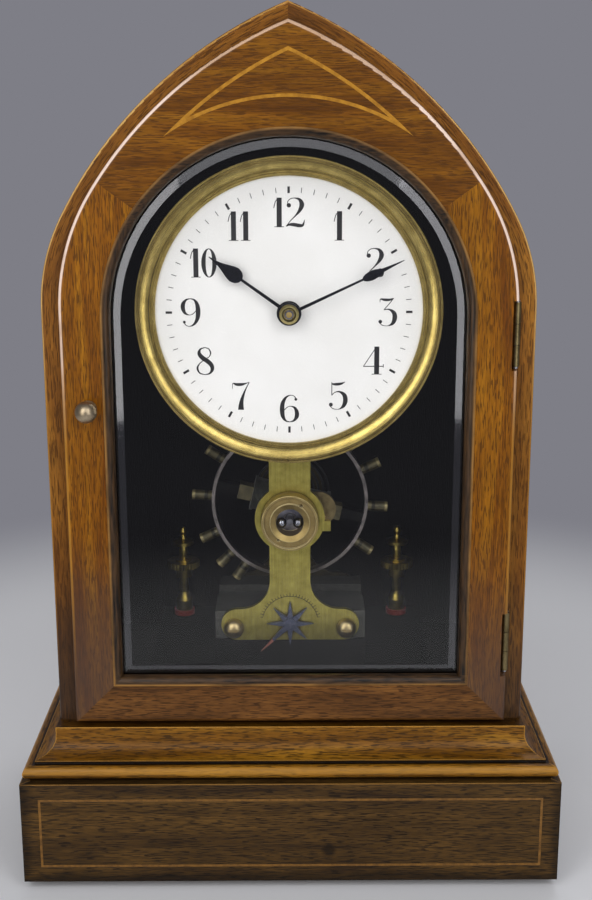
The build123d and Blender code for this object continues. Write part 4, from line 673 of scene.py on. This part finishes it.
# Case and base
dress(wood("door_upright", DOOR_TONES, DARK_FLECK, "z", edge_wear_and_highlight=PALE_WEAR_AND_HIGHLIGHT, foot=DOOR_FOOT),
      "door_stile_left", "door_stile_right")
dress(wood("door_across", RAIL_TONES, DARK_FLECK, "x", 0.4, edge_wear_and_highlight=PALE_WEAR_AND_HIGHLIGHT), "door_rail_arch")
dress(wood("door_foot", FOOT_TONES, FOOT_FLECK, "x", 0.9), "door_rail_bottom")
dress(wood("case_wood", CASE_TONES, DARK_FLECK, "case", 0.2, inner="case", edge_wear_and_highlight=CASE_WEAR_AND_HIGHLIGHT, foot=CASE_FOOT),
      "case_wall_left", "case_wall_right", "case_arch_left", "case_arch_right")
dress(wood("base_front", BASE_TONES, BASE_FLECK, "x", 0.3, gloss=0.42, arris_highlight=PLINTH_ARRIS_HIGHLIGHT, above=PLINTH_TOP,
           plinth_marked=True), "plinth_front")
dress(wood("base_side", BASE_TONES, BASE_FLECK, "y", 0.3, gloss=0.42, arris_highlight=PLINTH_ARRIS_HIGHLIGHT, above=PLINTH_TOP),
      "plinth_sides")
dress(wood("base_moulding", MOULDING_TONES, MOULDING_FLECK, "base", 0.6, gloss=0.3, arris_highlight=ARRIS_HIGHLIGHT,
           moulded=True), "base_moulding")
dress(plain_wood("back_boards", "z", (1, -1.0)), "back_panel")
dress(plain_wood("deck_wood", "x", (2, 1.0)), "deck_board")
dress(plain_wood("hidden_boards", "x"), "plinth_back", "bottom_board")
dress(stringing_wood("plinth_line", tint(88, 58, 17), tint(128, 88, 30)), "plinth_stringing")
dress(stringing_wood("door_line", tint(142, 94, 10), tint(178, 124, 22)), "door_inlay")
dress(bead_wood(), "sight_bead")
dress(black_wood(), "movement_seat", "glass_retainer")
dress(coated("pad", tint(24, 23, 22), tint(44, 42, 40), 0.85, 600.0, bump=0.0001), "feet")

# Glass, dial and hands
dress(glass(), "door_glass")
dress(enamel(), "dial")
dress(turned_brass("bezel_brass", tint(164, 143, 78), tint(202, 180, 108), 0.26, DIAL_Z), "dial_bezel")
dress(turned_brass("collet_brass", tint(184, 168, 104), tint(216, 202, 140), 0.3, DIAL_Z, COLLET_CORE),
      "hand_collet")
dress(coated("blued_steel", tint(12, 13, 18), tint(26, 28, 38), 0.3, 400.0, 0.7), "hour_hand", "minute_hand")
dress(coated("spring_steel", tint(8, 9, 12), tint(18, 19, 24), 0.45, 400.0, 0.4), "hairspring")

# Movement
UPRIGHT = (1.0, 1.0, 0.03)
dress(metal("plate_brass", tint(150, 140, 66), tint(182, 170, 88), 0.36, stretch=UPRIGHT, brushed=0.4),
      "front_plate")
dress(metal("brass", tint(178, 150, 84), tint(220, 192, 120), 0.3), "battery_contacts", "hour_wheel",
      "minute_wheel", "intermediate_wheel", "ratchet_wheel", "centre_arbor")
dress(metal("dull_brass", tint(104, 92, 62), tint(146, 130, 92), 0.36, 0.14),
      "contact_disc", "catch_tongue", "hinge_case_leaves", "hinge_door_leaves")
# The back plate's brass darkened as painted shade
dress(metal("shaded_back_brass", tint(44, 40, 28), tint(70, 62, 42), 0.45), "back_plate")
dress(metal("knob_brass", tint(150, 134, 108), tint(192, 176, 150), 0.38, 0.1), "door_knob")
dress(metal("steel", tint(150, 150, 154), tint(192, 192, 196), 0.34),
      "hinge_pins", "case_screws", "hinge_screws_door", "pawl_lever")
dress(metal("dark_steel", tint(92, 92, 98), tint(132, 132, 138), 0.3), "balance_staff")
dress(metal("polished_steel", tint(112, 114, 122), tint(146, 148, 156), 0.14, 0.05), "bearing_balls")
dress(turned_brass("bearing_brass", tint(128, 110, 68), tint(158, 138, 88), 0.46, BALANCE_Z,
                   CUP_CORE, CUP_FLOOR, tint(214, 200, 150)), "bearing_cups")
dress(metal("nut_brass", tint(146, 130, 92), tint(184, 166, 124), 0.34), "plate_nuts")
dress(screw_brass(), "balance_screws", "balance_nuts")
dress(metal("terminal_brass", tint(150, 132, 64), tint(196, 174, 92), 0.32),
      "terminal_posts", "terminal_nuts")
dress(metal("rim_steel", tint(106, 101, 98), tint(152, 145, 141), 0.3), "balance_rim")
dress(metal("core_iron", tint(18, 18, 18), tint(32, 32, 31), 0.55), "balance_core")
dress(coated("iron", tint(38, 38, 36), tint(66, 66, 62), 0.6, 500.0, 0.4, 0.0001), "bed_plate")
dress(winding(), "balance_coils")
dress(coated("fibre", tint(120, 32, 24), tint(164, 52, 40), 0.55, 500.0), "terminal_washers")
dress(coated("cell", tint(96, 104, 112), tint(124, 130, 138), 0.45, 200.0, 0.6), "battery_cell")
dress(regulator_finish(), "regulator_star")


# Flat printed work: strokes with a changing breadth
def smooth(points, steps=10):
    """A curve through (x, y, breadth) points."""
    if len(points) < 3:
        return points
    padded = [points[0]] + points + [points[-1]]
    made = []
    for a, b, c, d in zip(padded, padded[1:], padded[2:], padded[3:]):
        for step in range(steps):
            t = step / steps
            made.append(tuple(
                0.5 * (2 * q + (r - p) * t + (2 * p - 5 * q + 4 * r - s) * t * t
                       + (3 * q - p - 3 * r + s) * t ** 3)
                for p, q, r, s in zip(a, b, c, d)))
    made.append(points[-1])
    return made


def strip(points):
    """The outline of a stroke as a row of four-cornered faces."""
    sides = []
    for index, (x, y, breadth) in enumerate(points):
        before = points[max(index - 1, 0)]
        after = points[min(index + 1, len(points) - 1)]
        dx, dy = after[0] - before[0], after[1] - before[1]
        size = math.hypot(dx, dy) or 1.0
        half = max(breadth, LEAST_BREADTH) / 2
        over, up = dy / size * half, dx / size * half
        sides.append(((x - over, y + up), (x + over, y - up)))
    return [[a[0], b[0], b[1], a[1]] for a, b in zip(sides, sides[1:])]


def ball(x, y, radius):
    """A round terminal."""
    angles = [2 * math.pi * k / BALL_SIDES for k in range(BALL_SIDES)]
    return [[(x + radius * math.cos(angle), y + radius * math.sin(angle)) for angle in angles]]


def bar(x0, x1, y0, y1):
    """A plain upright or serif."""
    return [[(x0, y0), (x1, y0), (x1, y1), (x0, y1)]]


def nought():
    """A narrow oval, heavy at the sides."""
    points = []
    for step in range(49):
        angle = 2 * math.pi * step / 48
        breadth = THIN + 0.125 * abs(math.cos(angle)) ** 1.6
        points.append((0.255 + 0.19 * math.cos(angle), 0.5 + 0.487 * math.sin(angle), breadth))
    return strip(points)


def six():
    """A six, which turned over makes the nine."""
    stem = [(0.58, 0.83, 0.05), (0.52, 0.945, 0.03), (0.38, 0.985, THIN), (0.22, 0.9, 0.08),
            (0.11, 0.7, 0.14), (0.085, 0.44, 0.165), (0.12, 0.2, 0.13), (0.22, 0.055, 0.06),
            (0.36, 0.015, THIN)]
    bowl = [(0.36, 0.015, THIN), (0.5, 0.06, 0.07), (0.6, 0.2, 0.14), (0.61, 0.36, 0.145),
            (0.54, 0.52, 0.09), (0.4, 0.585, THIN), (0.27, 0.55, THIN), (0.16, 0.44, THIN)]
    return strip(smooth(stem)) + strip(smooth(bowl)) + ball(0.575, 0.835, 0.05)


def digit(value):
    """The faces of one upright numeral, one unit high, and its width."""
    if value == 0:
        return nought(), 0.53
    if value == 1:
        flag = smooth([(0.21, 0.985, THIN), (0.11, 0.87, THIN), (0.05, 0.65, THIN)])
        return bar(0.15, 0.325, 0.0, 1.0) + bar(0.07, 0.4, 0.0, 0.024) + strip(flag), 0.42
    if value == 2:
        hook = [(0.085, 0.74, THIN), (0.1, 0.88, THIN), (0.2, 0.965, THIN), (0.34, 0.985, 0.035),
                (0.5, 0.93, 0.1), (0.575, 0.77, 0.165), (0.51, 0.58, 0.12), (0.36, 0.39, 0.05),
                (0.18, 0.21, THIN), (0.04, 0.03, THIN)]
        foot = [(0.03, 0.03, 0.03), (0.15, 0.085, 0.08), (0.3, 0.085, 0.12), (0.48, 0.055, 0.12),
                (0.61, 0.07, 0.08), (0.67, 0.25, 0.016)]
        return strip(smooth(hook)) + strip(smooth(foot)) + ball(0.13, 0.74, 0.075), 0.69
    if value == 3:
        top = [(0.08, 0.84, 0.016), (0.1, 0.95, 0.04), (0.24, 0.93, 0.09), (0.42, 0.93, 0.08),
               (0.56, 0.985, 0.016)]
        slant = [(0.56, 0.985, THIN), (0.4, 0.78, THIN), (0.22, 0.575, THIN)]
        bowl = [(0.22, 0.575, THIN), (0.4, 0.59, 0.05), (0.57, 0.47, 0.14), (0.605, 0.29, 0.165),
                (0.54, 0.11, 0.12), (0.38, 0.015, THIN), (0.18, 0.03, THIN), (0.065, 0.13, THIN)]
        return strip(smooth(top)) + strip(slant) + strip(smooth(bowl)) + ball(0.1, 0.16, 0.065), 0.69
    if value == 4:
        slant = [(0.47, 0.985, THIN), (0.02, 0.295, THIN)]
        cross = bar(0.01, 0.73, 0.28, 0.31) + bar(0.71, 0.735, 0.25, 0.37)
        return strip(slant) + cross + bar(0.4, 0.575, 0.0, 1.0) + bar(0.31, 0.665, 0.0, 0.024), 0.76
    if value == 5:
        top = [(0.13, 0.99, 0.016), (0.15, 0.93, 0.05), (0.3, 0.915, 0.1), (0.47, 0.94, 0.08),
               (0.6, 1.0, 0.016)]
        bowl = [(0.13, 0.52, THIN), (0.24, 0.62, THIN), (0.4, 0.645, 0.06), (0.57, 0.53, 0.14),
                (0.615, 0.33, 0.165), (0.55, 0.13, 0.12), (0.39, 0.015, THIN), (0.18, 0.03, THIN),
                (0.06, 0.14, THIN)]
        stem = bar(0.118, 0.146, 0.51, 0.98)
        return stem + strip(smooth(top)) + strip(smooth(bowl)) + ball(0.1, 0.18, 0.07), 0.69
    if value == 6:
        return six(), 0.69
    if value == 7:
        top = [(0.03, 0.76, 0.016), (0.05, 0.95, 0.03), (0.18, 0.92, 0.1), (0.36, 0.92, 0.1),
               (0.52, 0.96, 0.04), (0.63, 1.0, 0.016)]
        stem = [(0.63, 0.99, THIN), (0.5, 0.74, 0.045), (0.38, 0.42, 0.11), (0.335, 0.18, 0.17),
                (0.33, 0.0, 0.21)]
        return strip(smooth(top)) + strip(smooth(stem)), 0.66
    if value == 8:
        spine = [(0.34, 0.985, THIN), (0.18, 0.92, 0.06), (0.14, 0.77, 0.13), (0.25, 0.62, 0.16),
                 (0.42, 0.5, 0.16), (0.56, 0.36, 0.15), (0.59, 0.2, 0.12), (0.5, 0.06, 0.06),
                 (0.34, 0.015, THIN)]
        back = [(0.34, 0.015, THIN), (0.15, 0.07, 0.05), (0.07, 0.24, 0.07), (0.14, 0.4, 0.04),
                (0.32, 0.55, THIN), (0.49, 0.66, 0.03), (0.54, 0.79, 0.05), (0.48, 0.93, 0.04),
                (0.34, 0.985, THIN)]
        return strip(smooth(spine)) + strip(smooth(back)), 0.66
    return [[(0.69 - x, 1 - y) for x, y in face] for face in six()], 0.69


def flat_piece(name, faces, depth, material, body):
    """A thin printed layer from (x, z) faces at one depth."""
    vertices = []
    polygons = []
    for face in faces:
        start = len(vertices)
        vertices += [(x, depth, z) for x, z in face]
        polygons.append(list(range(start, start + len(face))))
    mesh = bpy.data.meshes.new(name)
    mesh.from_pydata(vertices, [], polygons)
    mesh.materials.append(material)
    piece = bpy.data.objects.new(name, mesh)
    bpy.context.scene.collection.objects.link(piece)
    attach(piece, body)


def tick(radius, length, breadth, angle, centre):
    """A radial mark, with the angle clockwise from the top in degrees."""
    turn = math.radians(angle)
    along = (math.sin(turn), math.cos(turn))
    corners = []
    for reach, side in ((0, -1), (0, 1), (1, 1), (1, -1)):
        r = radius - length / 2 + reach * length
        x = along[0] * r + along[1] * side * breadth / 2
        z = along[1] * r - along[0] * side * breadth / 2
        corners.append((centre[0] + x, centre[1] + z))
    return corners


def numeral(hour):
    """The faces of an hour's figures, one unit high, and their whole width."""
    made = []
    pen = 0.0
    for figure in str(hour):
        shape, width = digit(int(figure))
        if hour == 11 and pen:
            pen -= FIGURE_GAP
        made += [[(x + pen, y) for x, y in face] for face in shape]
        pen += width + FIGURE_GAP
    return made, pen - FIGURE_GAP


def dial_faces():
    """Numerals and minute marks."""
    faces = []
    for hour in range(1, 13):
        angle = math.radians(30 * hour)
        left, up = NUMERAL_RADIUS * math.sin(angle), DIAL_Z + NUMERAL_RADIUS * math.cos(angle)
        made, width = numeral(hour)
        half = width / 2
        faces += [[(left + (x - half) * NUMERAL_HEIGHT, up + (y - 0.5) * NUMERAL_HEIGHT) for x, y in face]
                  for face in made]
    for minute in range(60):
        length, breadth = HOUR_MARK if minute % 5 == 0 else MINUTE_MARK
        faces.append(tick(MINUTE_RADIUS, length, breadth, 6 * minute, (0.0, DIAL_Z)))
    return faces


def scale_faces():
    """The graduated half circle round the regulator."""
    faces = []
    for step in range(-13, 14):
        length = LONG_MARK if step % 3 == 0 else SHORT_MARK
        faces.append(tick(SCALE_RADIUS, length, SCALE_LINE, 6 * step, (0.0, REGULATOR_Z)))
    turns = [math.radians(2 * step) for step in range(-39, 40)]
    arc = [(SCALE_ARC * math.sin(turn), REGULATOR_Z + SCALE_ARC * math.cos(turn)) for turn in turns]
    grow = 1 + SCALE_LINE / SCALE_ARC
    rim = [(x * grow, REGULATOR_Z + (z - REGULATOR_Z) * grow) for x, z in arc]
    faces += [[arc[k], arc[k + 1], rim[k + 1], rim[k]] for k in range(len(arc) - 1)]
    return faces


INK = coated("dial_ink", tint(16, 16, 18), tint(30, 30, 33), 0.35, 500.0)
flat_piece("dial_print", dial_faces(), DIAL_FRONT - INK_LIFT, INK, "case")
ENGRAVED = coated("engraving", tint(40, 36, 18), tint(62, 55, 28), 0.5, 600.0, 0.5)
flat_piece("regulator_scale", scale_faces(), PLATE_FRONT - INK_LIFT, ENGRAVED, "case")


# Floor, light and camera
BACKDROP = tint(126, 126, 134)
SKY_LIGHT = (0.95, 0.97, 1.0, 1.0)
SKY_STRENGTH = 0.28
FLOOR_REACH = 30.0
FLOOR_DROP = 0.0002
WAIST = (0.0, 0.0, 0.22)
FOOT = (0.0, 0.0, 0.2)
CAMERA_PLACE = (0.000789, -0.570409, 0.316180)
CAMERA_PITCH, CAMERA_TURN, CAMERA_ROLL = 0.2393786, -0.0036448, -0.0023273
FOCAL_PIXELS = 1302.08
FRAME_PIXELS = 900.0
SENSOR = 36.0


def seen(shader):
    """1 for what the camera sees, directly, in metal or through glass."""
    path = shader.add("ShaderNodeLightPath").outputs
    mirrored = shader.larger(path["Is Glossy Ray"], path["Is Transmission Ray"])
    return shader.larger(path["Is Camera Ray"], mirrored)


def floor():
    """A plain pale floor that runs into the backdrop."""
    mesh = bpy.data.meshes.new("floor")
    far = FLOOR_REACH
    mesh.from_pydata([(-far, -far, 0), (far, -far, 0), (far, far, 0), (-far, far, 0)], [], [[0, 1, 2, 3]])
    shader = Shader("floor")
    x, y, _ = shader.parts(shader.place)
    cloud = shader.noise(shader.place, 3.0, 2.0)
    colour = shader.ramp(cloud, [(0.3, tint(218, 218, 222)), (0.7, tint(223, 223, 227))])
    pale = shader.add("ShaderNodeBsdfPrincipled", {
        "Base Color": colour, "Roughness": 0.8, "Specular IOR Level": 0.2})
    even = shader.add("ShaderNodeEmission", {0: BACKDROP, 1: 1.0})
    share = shader.times(shader.step(shader.reach(x, y), *FLOOR_FADE), seen(shader))
    mixed = shader.add("ShaderNodeMixShader", {0: share, 1: pale.outputs[0], 2: even.outputs[0]})
    mesh.materials.append(shader.finish(mixed))
    plane = bpy.data.objects.new("floor", mesh)
    bpy.context.scene.collection.objects.link(plane)
    plane.location.z = -FLOOR_DROP


def lamp(name, place, aim, size, power, colour=(1.0, 1.0, 1.0)):
    """A soft panel of a given width and height."""
    data = bpy.data.lights.new(name, "AREA")
    data.shape = "RECTANGLE"
    data.size, data.size_y = size
    data.energy = power
    data.color = colour
    light = bpy.data.objects.new(name, data)
    light.location = place
    light.rotation_mode = "QUATERNION"
    light.rotation_quaternion = (Vector(aim) - Vector(place)).to_track_quat("-Z", "Y")
    bpy.context.scene.collection.objects.link(light)


class Sky(Shader):
    """The same short ways for the world's node tree."""

    def __init__(self, name):
        self.world = bpy.data.worlds.new(name)
        self.world.use_nodes = True
        self.tree = self.world.node_tree
        self.tree.nodes.clear()
        self.output = self.tree.nodes.new("ShaderNodeOutputWorld")


def world():
    """Even light from all round, with the plain backdrop where it is seen."""
    sky = Sky("studio")
    light = sky.add("ShaderNodeBackground", {0: SKY_LIGHT, 1: SKY_STRENGTH})
    backdrop = sky.add("ShaderNodeBackground", {0: BACKDROP, 1: 1.0})
    mixed = sky.add("ShaderNodeMixShader", {0: seen(sky), 1: light.outputs[0], 2: backdrop.outputs[0]})
    sky.tree.links.new(mixed.outputs[0], sky.output.inputs["Surface"])
    bpy.context.scene.world = sky.world


def camera():
    """The photograph's viewpoint."""
    pitch, turn, roll = CAMERA_PITCH, CAMERA_TURN, CAMERA_ROLL
    right = Vector((math.cos(turn), math.sin(turn), 0))
    ahead = Vector((-math.sin(turn) * math.cos(pitch), math.cos(turn) * math.cos(pitch), -math.sin(pitch)))
    down = Vector((math.sin(turn) * math.sin(pitch), -math.cos(turn) * math.sin(pitch), -math.cos(pitch)))
    across = math.cos(roll) * right - math.sin(roll) * down
    below = math.sin(roll) * right + math.cos(roll) * down
    data = bpy.data.cameras.new("photo_camera")
    data.sensor_width = SENSOR
    data.lens = FOCAL_PIXELS * SENSOR / FRAME_PIXELS
    data.clip_start = 0.01
    data.clip_end = 100.0
    eye = bpy.data.objects.new("photo_camera", data)
    axes = Matrix((across, -below, -ahead)).transposed().to_4x4()
    eye.matrix_world = Matrix.Translation(CAMERA_PLACE) @ axes
    bpy.context.scene.collection.objects.link(eye)
    bpy.context.scene.camera = eye


floor()
world()
lamp("left", (-0.38, -0.64, 0.42), WAIST, (0.32, 0.8), 2.2, (1.0, 0.99, 0.97))
lamp("right", (0.38, -0.64, 0.42), WAIST, (0.32, 0.8), 1.8)
lamp("front", (-0.1, -1.05, 0.98), FOOT, (1.8, 1.0), 6.2)
lamp("rim", (0.2, 0.7, 1.2), FOOT, (0.8, 0.8), 4.0)
camera()
bpy.context.scene.view_settings.view_transform = "Standard"
